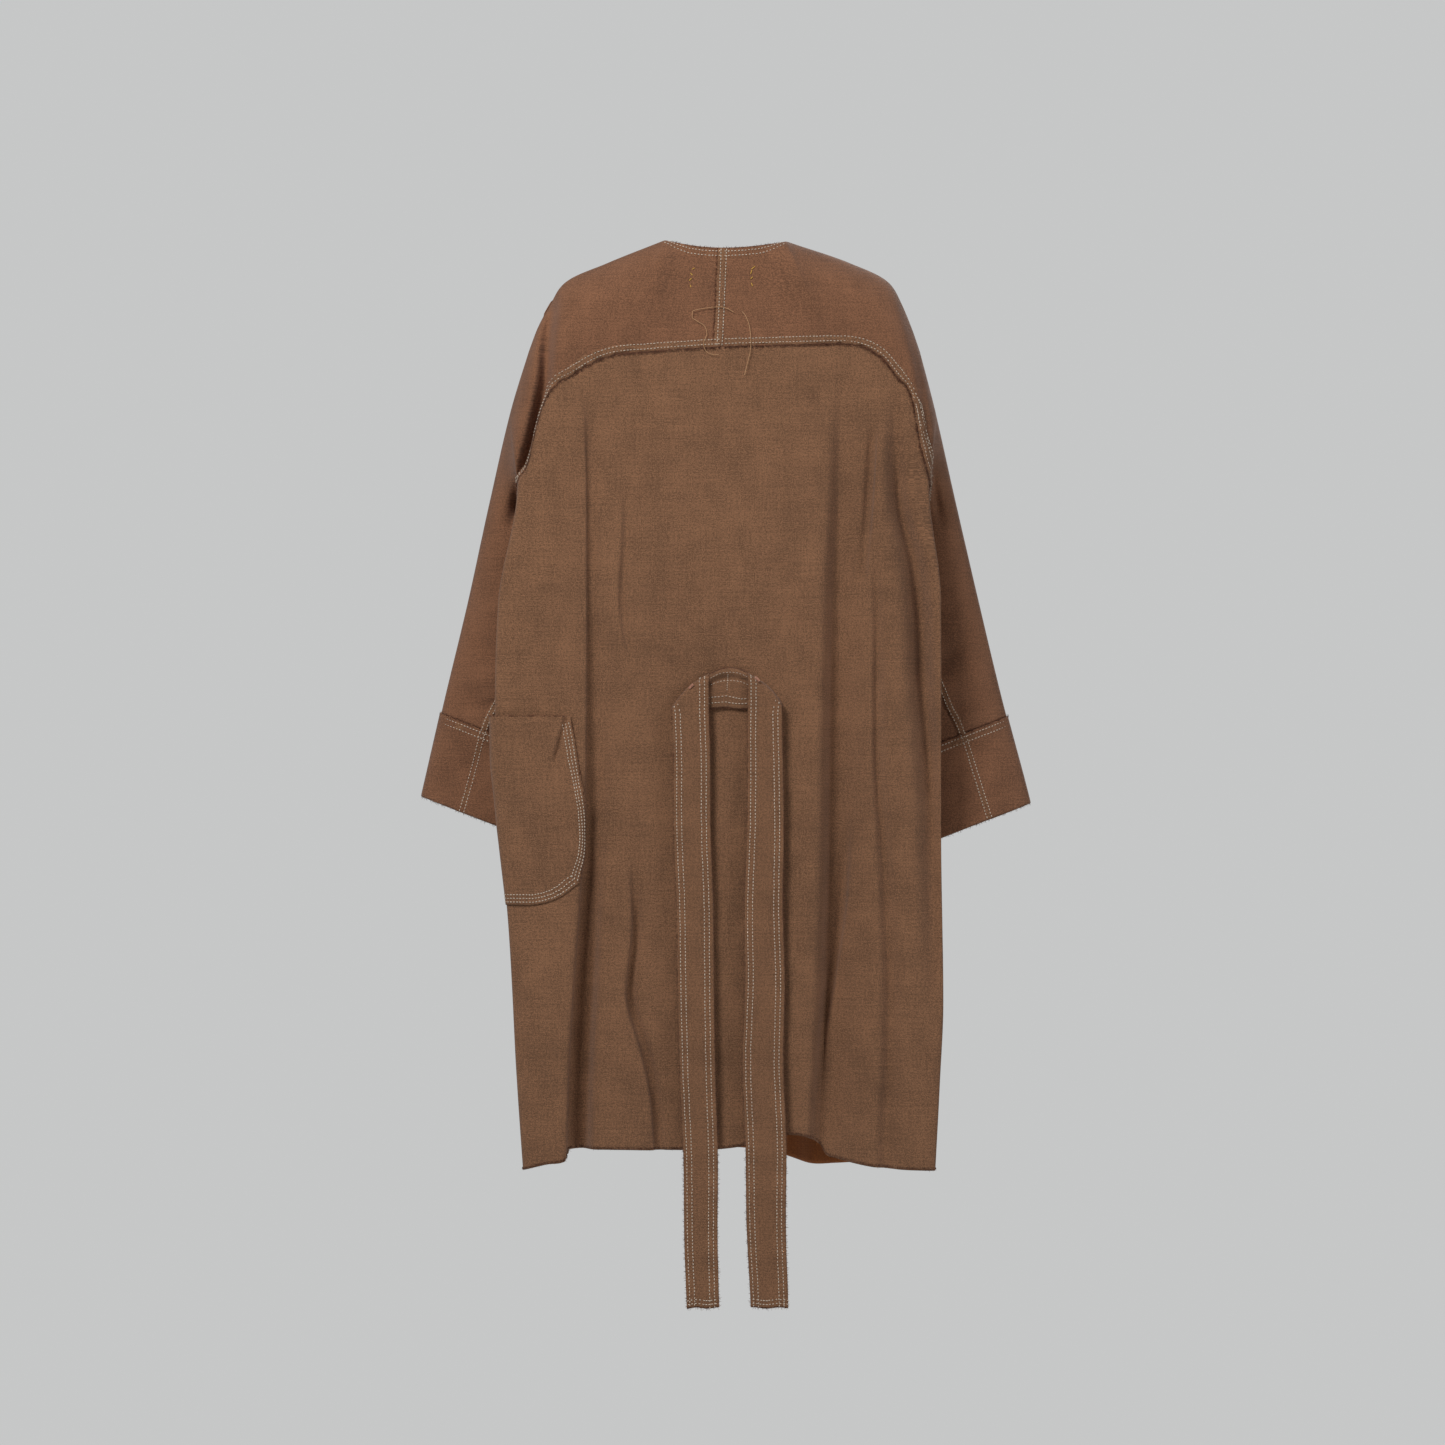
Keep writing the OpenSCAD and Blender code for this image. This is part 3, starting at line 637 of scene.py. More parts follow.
# ---------------------------------------------------------------- lines of sewing on a surface
class Line:
    """A line on a surface, measured in metres along it, from which strips, stitches and yarns are set out.

    reach is the most an offset may move a point in u or v, which keeps it near where the cloth is folded.
    """

    def __init__(self, surface, points, way, reach=0.3):
        self.surface, self.way, self.reach = surface, way, reach
        steps = np.linspace(0, 1, len(points))
        self.u, self.v = (smooth_line(list(zip(steps, axis))) for axis in zip(*points))
        self.t = np.linspace(0, 1, 400)
        run = surface(self.u(self.t), self.v(self.t))
        lengths = np.linalg.norm(np.diff(run, axis=0), axis=1)
        self.along = np.concatenate([[0], np.cumsum(lengths)])
        self.length = self.along[-1]

    def at(self, d, offset, lift):
        """Points d along the line, offset to its side and lifted off the cloth, with their run and way out."""
        d, offset, lift = np.broadcast_arrays(*(np.asarray(x, float) for x in (d, offset, lift)))
        t = np.interp(d, self.along, self.t)
        u, v = self.u(t), self.v(t)
        f, h = self.surface, 2e-4
        pu = (f(u + h, v) - f(u - h, v)) / (2 * h)
        pv = (f(u, v + h) - f(u, v - h)) / (2 * h)
        t0, t1 = clamp(t - 1e-3), clamp(t + 1e-3)
        run = unit(f(self.u(t1), self.v(t1)) - f(self.u(t0), self.v(t0)))
        out = unit(np.cross(pu, pv)) * self.way
        side = np.cross(out, run)
        g11, g12, g22 = (pu * pu).sum(-1), (pu * pv).sum(-1), (pv * pv).sum(-1)
        r1, r2 = (pu * side).sum(-1) * offset, (pv * side).sum(-1) * offset
        det = g11 * g22 - g12 * g12
        du, dv = (g22 * r1 - g12 * r2) / det, (g11 * r2 - g12 * r1) / det
        u, v = u + np.clip(du, -self.reach, self.reach), v + np.clip(dv, -self.reach, self.reach)
        out = normals(f, u, v, 2e-4) * self.way
        return f(u, v) + out * lift[..., None], run, out

    def strip(self, name, width, shift, height, ragged, seed):
        """A narrow sewn strip of cloth, soft across its width, with slightly ragged edges."""
        d = np.linspace(0.0, self.length, max(8, int(self.length / 0.0030)))
        k = np.linspace(-1, 1, 9)
        r = np.random.default_rng(seed)
        edges = r.normal(0, ragged, (2, len(d)))
        edges = (edges + np.roll(edges, 1, axis=1)) / 1.4
        low, high = shift - width / 2 + edges[0], shift + width / 2 + edges[1]
        offset = mix(low[:, None], high[:, None], (k[None, :] + 1) / 2)
        puff = 1 + 0.25 * ripple(d, d * 0, 0.02, seed + 5)[:, None] + 0.10 * r.normal(0, 1, (len(d), len(k)))
        lift = height * (1 - np.abs(k[None, :]) ** 6) * puff - 0.0002
        points = self.at(d[:, None], offset, lift)[0]
        rows, columns = points.shape[:2]
        obj = mesh_object(name, points.reshape(-1, 3), grid_faces(rows, columns, True),
                          cloth_uv(points).reshape(-1, 2))
        obj.data.materials.append(seam_cloth)
        return obj

    def stitches(self, offset=0.0, lift=0.0002, radius=0.00056, pitch=THREAD_PITCH):
        """Points and faces of a row of stitches, each a short dip-ended bar."""
        r = np.random.default_rng(2)
        d = np.arange(pitch / 2, self.length, pitch)
        d = d + r.normal(0, 0.00012, len(d))
        place = offset + r.normal(0, 0.00012, len(d))
        point, run, out = self.at(d, place, lift)
        across = np.cross(out, run)
        length = pitch * 0.62 * (1 + r.normal(0, 0.07, len(d)))
        return bars(point, run, across, out, length, radius)


def tube_faces(count, rings, sides):
    """Faces of count small tubes, each of so many rings with so many sides."""
    one = [(s + a, s + (a + 1) % sides, s + sides + (a + 1) % sides, s + sides + a)
           for s in range(0, (rings - 1) * sides, sides) for a in range(sides)]
    return (np.array(one)[None] + (np.arange(count) * rings * sides)[:, None, None]).reshape(-1, 4)


def bars(point, run, across, out, length, radius):
    """Small rounded bars with five sides at these places."""
    stations, girth, dip = (np.array(row)[None, :, None, None] for row in (
        (-0.5, -0.30, 0.30, 0.5), (0.35, 1.0, 1.0, 0.35), (-0.9, 0.0, 0.0, -0.9)))
    angles = (np.arange(5) * math.tau / 5)[:, None]
    count = len(point)
    point, run, across, out = (way[:, None, None] for way in (point, run, across, out))
    verts = (point + stations * length[:, None, None, None] * run
             + radius * girth * (np.cos(angles) * across + np.sin(angles) * out) + radius * dip * out)
    return verts.reshape(-1, 3), tube_faces(count, 4, 5)


def joined(parts):
    """One set of points and faces from several."""
    verts, faces, base = [], [], 0
    for v, f in parts:
        verts.append(v)
        faces.append(f + base)
        base += len(v)
    return np.concatenate(verts), np.concatenate(faces)


def thread_object(name, parts, material):
    verts, faces = joined(parts)
    obj = mesh_object(name, verts, faces, cloth_uv(verts))
    obj.data.materials.append(material)
    return obj


def yarn_ends(line, way, place, every, seed, long=0.0035, lift=0.0004):
    """Loose yarn ends that point off a raw edge, which lies at place from the line: three-sided hairs."""
    r = np.random.default_rng(seed)
    count = int(line.length / every)
    d = np.sort(r.uniform(0.0, line.length, count))
    point, run, out = line.at(d, way * place - way * 0.0006, lift * r.uniform(0.2, 1.6, count))
    across = np.cross(out, run) * way
    aim = unit(across + run * r.normal(0, 0.55, count)[:, None]
               + out * r.uniform(-0.15, 0.45, count)[:, None])
    bend = unit(across * 0.4 + run * r.normal(0, 1.0, count)[:, None]
                + out * r.uniform(-0.5, 0.3, count)[:, None])
    size = long * r.uniform(0.25, 1.0, count) ** 1.5 + 0.0008
    radius = r.uniform(0.00013, 0.00026, count)
    stations = [point, point + aim * (size * 0.55)[:, None], point + (aim * 0.8 + bend * 0.5) * size[:, None]]
    rings = []
    for k, centre in enumerate(stations):
        girth = radius * (1.0, 0.85, 0.35)[k]
        for a in range(3):
            angle = a * math.tau / 3
            rings.append(centre + (run * math.cos(angle) + out * math.sin(angle)) * girth[:, None])
    return np.stack(rings, axis=1).reshape(-1, 3), tube_faces(count, 3, 3)


def stitches_and_fray(part, rows, ends, tail=""):
    """Two pieces of sewing: the rows of stitches, and the yarn ends of the raw edges."""
    return (thread_object("smock_" + part + "_stitches" + tail, rows, pale_thread),
            thread_object("smock_" + part + "_fray" + tail, ends, raw_yarn))


# ---------------------------------------------------------------- pieces' places baked into their meshes, and the model's parts they replace hidden
def name_of(side):
    return "left" if side < 0 else "right"


def with_sleeve(obj):
    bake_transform(obj)


def with_front(obj):
    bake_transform(obj)


def with_tie(obj):
    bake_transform(obj)


def stands_for(obj, slot, *nodes):
    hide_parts(*nodes)


def hung_sheet(obj, slot, nodes, with_pieces=()):
    stands_for(obj, slot, *nodes)
    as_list(with_pieces)


# ---------------------------------------------------------------- back and front panels
def back_panel():
    panel = sheet_grid("smock_back", back_surface, np.linspace(-1, 1, 541), np.linspace(0, 1, 181), flip=True)
    return cloth(panel, body_cloth)


def front_panel(side):
    s, v = 1 - np.linspace(1, 0, 121) ** 1.8, np.linspace(0, 1, 181)
    panel = sheet_grid("smock_front_" + name_of(side), front_surface(side), s, v, side < 0)
    return cloth(panel, arm_cloth, rust_cloth)


def front_facing(side):
    surface = front_surface(side)

    def at(s, v):
        return surface(s, v) - normals(surface, s, v) * side * FACING_INSET

    facing = sheet_grid("smock_front_facing_" + name_of(side), at, np.linspace(0.004, 0.15, 14),
                        np.linspace(0.012, 0.994, 181), side > 0)
    return cloth(facing, facing_cloth, thickness=FACING_CLOTH)


# ---------------------------------------------------------------- yoke and sleeve, cut in one
def right_or_left(f, side):
    return lambda a, b: f(a, b, side)


def yoke_and_sleeve(side):
    q = np.concatenate([np.linspace(0, NECK, 36)[:-1], 1 - (1 - NECK) * np.linspace(1, 0, 151)[:-1] ** 1.4,
                        np.linspace(1, 2, 91)])
    low, high = np.linspace(-1, -1e-7, 61), np.linspace(0, 1, 61)
    parts, maps = [], []
    for c in (low, high):
        u, v = np.meshgrid(q, c)
        points = arm_at(u, v, side)
        parts.append((points.reshape(-1, 3), grid_faces(len(c), len(q), side < 0)))
        out = points[..., 0] * side
        way = out if c is low else 2 * out[0] - out
        maps.append(stack(side * (way + points[..., 1]), points[..., 2]).reshape(-1, 2))
    verts, faces = joined(parts)
    obj = mesh_object("smock_yoke_sleeve_" + name_of(side), verts, faces, np.concatenate(maps))
    weld(obj)
    return cloth(obj, arm_cloth)


def cuff(side):
    u, v = np.meshgrid(np.linspace(1.0, 2.0, 41), np.linspace(0, math.tau, 121))
    mirror, stand = np.array([side, 1, 1]), 0.0010
    surface = right_or_left(tube, side)
    points = surface(u, v) * mirror + normals(surface, u, v) * mirror * stand
    around = np.cumsum(np.linalg.norm(np.diff(points, axis=0, prepend=points[:1]), axis=2), axis=0)
    obj = mesh_object("smock_cuff_" + name_of(side), points.reshape(-1, 3), grid_faces(121, 41, side > 0),
                      stack(around, points[..., 2]).reshape(-1, 2))
    weld(obj, 1e-5)
    return cloth(obj, arm_cloth)


# ---------------------------------------------------------------- the patch pocket
POCKET_EDGE = smooth_line([(-0.770, -0.1650), (-0.735, -0.1615), (-0.692, -0.1592), (-0.664, -0.1601),
                           (-0.636, -0.1622), (-0.603, -0.1658), (-0.575, -0.1699), (-0.550, -0.1750)])
POCKET_TOP, POCKET_LOW = pocket_high[2] - 0.002, pocket_low[2] - 0.001
POCKET_OUT = -0.93


def pocket_at(u, v):
    """u runs from the outer edge (0) to the sewn edge (1), v from the mouth (0) to the bottom (1)."""
    z_plain = mix(POCKET_TOP, POCKET_LOW, v)
    wide = half_width(-1.0, z_plain)
    s_in = -TURN * np.arcsin(clamp(-POCKET_EDGE(z_plain) / wide)) / QUARTER_TURN
    s = mix(POCKET_OUT, s_in, u)
    x_near = -wide * np.sin(clamp(-s / TURN) * QUARTER_TURN)
    # the lower corner is round
    corner = 0.054 * (1 - np.sqrt(1 - np.clip((x_near + 0.225) / 0.0700, 0, 0.97) ** 2))
    z = z_plain + corner * v ** 3
    base = back_at(s, z)
    out = normals(back_at, s, z)
    across, down = np.sin(math.pi * clamp(u)), clamp(v)
    gape = 0.0055 * across ** 0.6 * (1 - down) ** 2.5 + 0.0012 * across * np.sin(math.pi * down)
    # a small slanting pleat goes down from the mouth beside the sewn edge
    pleat = (base[..., 0] + 0.1795 + 0.27 * (POCKET_TOP - 0.004 - z)) / 0.0026
    pleated = 0.0022 * hill(pleat / 2.4) - 0.0062 * hill(pleat)
    gape = np.maximum(gape + pleated * ease((z + 0.612) / 0.02), -0.0008)
    return base + out * (0.0016 + gape + 0.0004 * ripple(u * 0.09, v * 0.2, 0.03, 31))[..., None]


def side_pocket():
    patch = sheet_grid("smock_side_pocket", pocket_at, np.linspace(0, 1, 181), np.linspace(0, 1, 91), True)
    return cloth(patch, body_cloth, thickness=0.0009)


# ---------------------------------------------------------------- belt and ties
BELT_Y = belt_high[1] + 0.0012
BELT_TOP, BELT_LOW = belt_high[2], belt_low[2]
TIE_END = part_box("tie_left")[0][2]
TIE_SIDES = {
    -1: (smooth_line([(TIE_END, -0.0411), (-0.974, -0.0487), (-0.72, -0.0545), (BELT_LOW, -0.0580)]),
         smooth_line([(TIE_END, -0.0038), (-0.974, -0.0081), (-0.72, -0.0120), (BELT_LOW, -0.0157)])),
    1: (smooth_line([(TIE_END, 0.0310), (-0.974, 0.0246), (-0.72, 0.0268), (BELT_LOW, 0.0290)]),
        smooth_line([(TIE_END, 0.0742), (-0.974, 0.0719), (-0.72, 0.0700), (BELT_LOW, 0.0684)])),
}
BELT_INNER = {side: TIE_SIDES[side][0 if side > 0 else 1](BELT_LOW) for side in (-1, 1)}
TIE_FOLD = {-1: smooth_line([(0, -0.503), (0.25, -0.5090), (0.53, -0.517), (0.81, -0.530), (1, -0.541)]),
            1: smooth_line([(0, -0.502), (0.28, -0.509), (0.55, -0.516), (0.80, -0.526), (1, -0.537)])}


def tie_at(u, v, side):
    """u runs across the tie from the viewer's left, v from the slanting fold at the belt to the end."""
    left, right = TIE_SIDES[side]
    outer = np.where(side > 0, u, 1 - u)
    fold = TIE_FOLD[side](outer)
    z = mix(fold, TIE_END + 0.0008 * np.sin(u * 9 + side), v)
    wander = 0.0012 * ripple(z, 0 * z, 0.10, 40 + side) * ease((BELT_LOW - z) / 0.05)
    x = mix(left(z), right(z), u) + wander
    hem = ease((0.30 - np.abs(u - (u > 0.5))) / 0.06)
    free = ease((BELT_LOW - z) / 0.12)
    turn = ease((fold - z) / 0.006)
    y = BELT_Y - mix(0.0020, 0.0062, turn) - 0.0007 * hem
    y = y - free * (0.0012 * ripple(u * 0.05 + z * 0.15, z, 0.12, 43 + side)
                    + 0.0006 * ripple(u * 0.04, z, 0.02, 46 + side))
    y = y - free * 0.0012 * (u - 0.5) * np.sin((z + 0.55) * 9 + side)
    return stack(x, y, z)


def tie(side):
    rows = 1 - np.linspace(1, 0, 241) ** 1.02
    surface = right_or_left(tie_at, side)
    obj = sheet_grid("smock_tie_" + name_of(side), surface, np.linspace(0, 1, 29), rows, flip=True)
    return cloth(obj, belt_cloth, thickness=0.0014)


def belt_at(u, v):
    """The level piece of the belt between its two folds."""
    low_left, low_right = TIE_SIDES[-1][0](BELT_LOW), TIE_SIDES[1][1](BELT_LOW)
    left = mix(BELT_INNER[-1], low_left + 0.003, v)
    right = mix(BELT_INNER[1] + 0.001, low_right - 0.003, v)
    x = mix(left, right, u)
    arch = 0.0100 * np.minimum(((x - 0.0085) / 0.0250) ** 2, 1.9) * (1 - v)
    z = mix(BELT_TOP, BELT_LOW - 0.0008, v) - arch + 0.0008 * ripple(x, v * 0.05, 0.014, 50) * v
    rolled = 0.0034 * hill((v - 0.10) / 0.11) - 0.0012 * hill((v - 0.26) / 0.06)
    y = BELT_Y - 0.0005 - 0.0014 * np.sin(math.pi * v) - rolled - 0.0003 * ripple(x, z, 0.012, 51)
    return stack(x, y, z)


def belt():
    obj = sheet_grid("smock_belt", belt_at, np.linspace(0, 1, 61), np.linspace(0, 1, 31), flip=True)
    return cloth(obj, belt_cloth, thickness=0.0016)


# ---------------------------------------------------------------- facings and label inside the neck
def neck_facing(side):
    surface, parts = right_or_left(arm_at, side), []
    for rows in (np.linspace(-0.20, -0.006, 20), np.linspace(0.006, 0.20, 20)):
        u, v = np.meshgrid(np.linspace(0.006, 0.215, 30), rows)
        points = surface(u, v) - normals(surface, u, v) * side * FACING_INSET
        parts.append((points.reshape(-1, 3), grid_faces(20, 30, side < 0)))
    verts, faces = joined(parts)
    obj = mesh_object("smock_neck_facing_" + name_of(side), verts, faces, cloth_uv(verts))
    return cloth(obj, facing_cloth, thickness=FACING_CLOTH)


def neck_label():
    low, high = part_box("neck_label")

    def at(u, v):
        x = mix(low[0] + 0.001, high[0] - 0.001, u)
        z = mix(high[2] - 0.0012, low[2] + 0.0012, v) + 0.0004 * np.sin(u * 12)
        y = mix(low[1], high[1], 0.55) - 0.0011 * (v - 0.5)
        y = y + 0.0022 * (2 * u - 1) ** 2 + 0.0005 * np.sin(u * 17)
        return stack(x, y, z)

    obj = sheet_grid("smock_neck_label", at, np.linspace(0, 1, 41), np.linspace(0, 1, 15))
    return cloth(obj, label_cloth, thickness=0.0005)


# ---------------------------------------------------------------- seams, stitches and raw edges
def tube_surface(side):
    return lambda t, angle: tube(t, angle, side) * np.array([side, 1, 1])


def arm_lines(side):
    """The lines of sewing on the yoke, sleeve and cuff of one side, by name."""
    arm, sleeve = right_or_left(arm_at, side), tube_surface(side)
    run = np.linspace(0, 1, 9)
    seam = [(mix(0.004, 0.80, t), -0.994) for t in run]
    front = [(mix(0.012, 0.80, t), 0.994) for t in run]
    # the left strip is turned in beside the seam, and the right one leans out over the sleeve
    first, last = ((0.535, -0.86), (0.70, -0.78)) if side > 0 else ((0.68, -0.955), (0.79, -0.950))
    armhole = [(mix(first[0], last[0], t), mix(first[1], last[1], t)) for t in run[::2]]
    underarm = [(t, -seam_angle(np.float64(t))) for t in np.linspace(0.02, 1.985, 24)]
    around = np.linspace(-0.05, -0.05 - math.tau, 60)
    return {
        "yoke": Line(arm, seam, side),
        "front_yoke": Line(arm, front, side),
        "armhole": Line(arm, armhole, side, 0.06),
        "neck_back": Line(arm, [(mix(0.004, 0.222, t), -0.010) for t in run], side),
        "neck_front": Line(arm, [(mix(0.012, 0.222, t), 0.010) for t in run], side),
        "front_edge": Line(arm, [(0.012, mix(0.02, 0.98, t)) for t in run[::4]], side),
        "underarm": Line(sleeve, underarm, side),
        "cuff_seam": Line(sleeve, [(1.015, a) for a in around], side),
        "cuff_end": Line(sleeve, [(1.997, a) for a in around], side),
    }


def arm_sewing(side):
    """Felled strips, stitches and yarn ends of one side's yoke, sleeve and cuff, by name."""
    lines, label = arm_lines(side), name_of(side)
    # a positive offset is towards the yoke on the left side and away from it on the right one
    up, pieces, rows = side, {}, []
    for key, line, width, shift, height, ragged, seed in (
            ("yoke_fell", "yoke", 0.0105, up * 0.0045, 0.0013, 0.0012, 60),
            ("armhole_fell", "armhole", 0.0085, 0, 0.0011, 0.0006, 63),
            ("underarm_fell", "underarm", 0.0085, 0, 0.0016, 0.0006, 66),
            ("cuff_seam", "cuff_seam", 0.0120, up * 0.0050, 0.0016, 0.0009, 69)):
        name = "smock_" + key + "_" + label
        pieces[key] = lines[line].strip(name, width, shift, height, ragged, seed + side)
    for key, way, offsets, lift in (
            ("yoke", up, EDGE_ROWS, 0.0012), ("front_yoke", -up, (0.0040, 0.0090), 0.0004),
            ("armhole", 1, (-0.0025, 0.0025), 0.0011), ("underarm", 1, (-0.0027, 0.0027), 0.0016),
            ("cuff_seam", up, (0.0020, 0.0085), 0.0016), ("neck_back", -up, EDGE_ROWS, 0.0003),
            ("neck_front", up, EDGE_ROWS, 0.0003), ("front_edge", -up, EDGE_ROWS, 0.0003)):
        radius = 0.00046 if key == "yoke" else 0.00056
        rows += [lines[key].stitches(way * x, lift, radius) for x in offsets]
    ends = [yarn_ends(lines["yoke"], -up, 0.0005, 0.0003, 80 + side, lift=0.0010),
            yarn_ends(lines["cuff_seam"], -up, 0.0010, 0.0005, 83 + side, lift=0.0014),
            yarn_ends(lines["neck_back"], up, 0.0006, 0.0011, 86 + side, long=0.0025),
            yarn_ends(lines["cuff_end"], up, 0.0004, 0.0009, 89 + side, long=0.0028, lift=0.0),
            yarn_ends(lines["armhole"], up, 0.0042, 0.0012, 92 + side, long=0.0028),
            yarn_ends(lines["armhole"], -up, 0.0042, 0.0012, 95 + side, long=0.0028)]
    pieces["stitches"], pieces["fray"] = stitches_and_fray("arm", rows, ends, "_" + label)
    for piece in pieces.values():
        with_sleeve(piece)
    return pieces


def front_sewing(side):
    surface = front_surface(side)
    edge = Line(surface, [(0.004, t) for t in np.linspace(0.004, 0.996, 9)], side)
    hem = Line(surface, [(t, 0.994) for t in np.linspace(0.004, 0.985, 12)], side)
    rows = [edge.stitches(-side * x, 0.0003) for x in EDGE_ROWS]
    rows += [hem.stitches(-side * x, 0.0003) for x in (0.0040, 0.0090)]
    ends = [yarn_ends(edge, side, 0.0006, 0.0014, 100 + side, long=0.0026),
            yarn_ends(hem, side, 0.0010, 0.0014, 103 + side, long=0.0028)]
    return stitches_and_fray("front", rows, ends, "_" + name_of(side))


def tie_sewing(side):
    surface = right_or_left(tie_at, side)
    down = np.linspace(0.0015, 0.9985, 14)
    first, last = (Line(surface, [(u, v) for v in down], -1) for u in (0.004, 0.996))
    foot = Line(surface, [(u, 0.9985) for u in (0.03, 0.35, 0.65, 0.97)], -1)
    rows = [line.stitches(x) for line, offsets in ((first, (0.0036, 0.0092)), (last, (-0.0048, -0.0103)),
                                                   (foot, (0.0035, 0.0080))) for x in offsets]
    ends = [yarn_ends(first, -1, 0.0005, 0.0012, 110 + side, long=0.0022),
            yarn_ends(last, 1, 0.0005, 0.0012, 113 + side, long=0.0022),
            yarn_ends(foot, -1, 0.0004, 0.0006, 116 + side, long=0.0034)]
    return stitches_and_fray("tie", rows, ends, "_" + name_of(side))


def back_sewing():
    """Stitches and yarn ends that stay on the garment: hem, pocket and belt."""
    hem = Line(back_surface, [(s, 0.9965) for s in np.linspace(-0.985, 0.985, 40)], -1)
    sewn = Line(pocket_at, [(0.996, v) for v in np.linspace(0.03, 0.99, 14)], -1)
    sole = Line(pocket_at, [(u, 0.994) for u in np.linspace(0.99, 0.02, 14)], -1)
    mouth = Line(pocket_at, [(u, 0.004) for u in np.linspace(0.04, 0.97, 12)], -1)
    belt_line = Line(belt_at, [(u, 0.02) for u in (0.06, 0.35, 0.65, 0.94)], -1)
    belt_rows = [Line(belt_at, [(u, v) for u in (0.10, 0.35, 0.65, 0.90)], -1) for v in (0.12, 0.32)]
    belt_low_line = Line(belt_at, [(u, 0.93) for u in (0.20, 0.4, 0.6, 0.80)], -1)
    belt_join = Line(belt_at, [(0.49, v) for v in (0.15, 0.35, 0.58)], -1)
    rows = [line.stitches(-x) for line in (sewn, sole) for x in (0.0022, 0.0064, 0.0106)]
    rows += [line.stitches(lift=0.0004) for line in belt_rows]
    rows += [belt_low_line.stitches(x, 0.0004) for x in EDGE_ROWS]
    rows += [belt_join.stitches(lift=0.0005, pitch=0.0026)]
    ends = [yarn_ends(hem, -1, 0.0006, 0.0008, 120, long=0.0030),
            yarn_ends(sewn, 1, 0.0006, 0.0012, 121, long=0.0020),
            yarn_ends(belt_line, 1, 0.0005, 0.0003, 122, long=0.0024),
            yarn_ends(mouth, 1, 0.0006, 0.0007, 124, long=0.0022),
            yarn_ends(belt_low_line, -1, 0.0030, 0.0006, 123, long=0.0030)]
    return stitches_and_fray("back", rows, ends)


def yoke_middle(s, c):
    """The back of both yokes as one surface, s below 0 on the left."""
    left, right = arm_at(np.abs(s), c, -1), arm_at(np.abs(s), c, 1)
    return np.where((np.asarray(s) < 0)[..., None], left, right)


def centre_back():
    """The felled seam down the middle of the yoke: a raw edge on the left, two rows of stitches."""
    places = [(mix(-0.006, -0.012, t), -mix(0.006, 0.985, t)) for t in np.linspace(0, 1, 7)]
    line = Line(yoke_middle, places, 1)
    fell = line.strip("smock_centre_fell", 0.0110, 0.0010, 0.0008, 0.0007, 130)
    rows = [line.stitches(x, 0.0009) for x in (0.0000, 0.0058)]
    ends = [yarn_ends(line, -1, 0.0042, 0.0004, 131, long=0.0024)]
    return fell, *stitches_and_fray("centre", rows, ends)


# the way out of the garment's back
OUTWARD = np.array([0.0, -1.0, 0.0])


def yoke_depth(x, z):
    """Depth of the garment's back near its middle, at (x, z)."""
    side = -1 if x < 0 else 1
    s = np.float64(x / half_width(side, z))
    if z < back_top(s):
        return float(back_at(s, np.float64(z))[1])
    q, c = np.meshgrid(np.linspace(0.005, 0.5, 101), np.linspace(-0.99, -0.01, 121))
    points = arm_at(q, c, side)
    nearest = np.argmin((points[..., 0] - x) ** 2 + (points[..., 2] - z) ** 2)
    return float(points[..., 1].ravel()[nearest])


def loose_thread(places, radius, lift):
    """A thread that wanders over the back, as points and faces of a thin tube."""
    steps = np.linspace(0, 1, len(places))
    spots = [(x, yoke_depth(x, z) - lift, z) for x, z in places]
    curve = [smooth_line(list(zip(steps, axis))) for axis in zip(*spots)]
    t = np.linspace(0, 1, 10 * len(places))
    point = stack(*(axis(t) for axis in curve))
    run = unit(np.gradient(point, axis=0))
    across = unit(np.cross(np.tile(OUTWARD, (len(t), 1)), run))
    angles = np.arange(5) * math.tau / 5
    verts = point[:, None] + radius * (np.cos(angles)[None, :, None] * across[:, None]
                                       + np.sin(angles)[None, :, None] * np.cross(run, across)[:, None])
    return verts.reshape(-1, 3), tube_faces(1, len(t), 5)


def label_tacks():
    """Short slanting tacks in ochre thread that hold the blank label, seen on the outside of the yoke."""
    tacks = [[(-0.0350, -0.0350), (-0.0322, -0.0334)], [(-0.0370, -0.0394), (-0.0348, -0.0420)],
             [(-0.0384, -0.0484), (-0.0358, -0.0455)], [(-0.0372, -0.0535), (-0.0366, -0.0560)],
             [(0.0376, -0.0314), (0.0334, -0.0350)], [(0.0338, -0.0362), (0.0325, -0.0406)],
             [(0.0348, -0.0440), (0.0325, -0.0466)], [(0.0334, -0.0510), (0.0346, -0.0550)]]
    parts = [loose_thread([a, tuple((np.array(a) + np.array(b)) / 2), b], 0.00052, 0.0007) for a, b in tacks]
    return thread_object("smock_label_tacks", parts, ochre_thread)


def thread_tails():
    """Loose ends of the seam's thread, lying over the yoke and its seam."""
    left = [(0.0128, -0.0858), (0.0045, -0.0812), (-0.0035, -0.0798), (-0.020, -0.0812), (-0.0345, -0.0850),
            (-0.0350, -0.0915), (-0.0290, -0.0965), (-0.0210, -0.1020), (-0.0180, -0.1110),
            (-0.0215, -0.1215), (-0.0205, -0.1290), (-0.0150, -0.1345), (-0.0044, -0.1355)]
    right = [(0.0225, -0.0850), (0.0267, -0.0905), (0.0310, -0.1020), (0.0327, -0.1206), (0.0320, -0.1310),
             (0.0300, -0.1400), (0.0253, -0.1590)]
    parts = [loose_thread(places, 0.00034, 0.0026) for places in (left, right)]
    return thread_object("smock_thread_tails", parts, tan_thread)


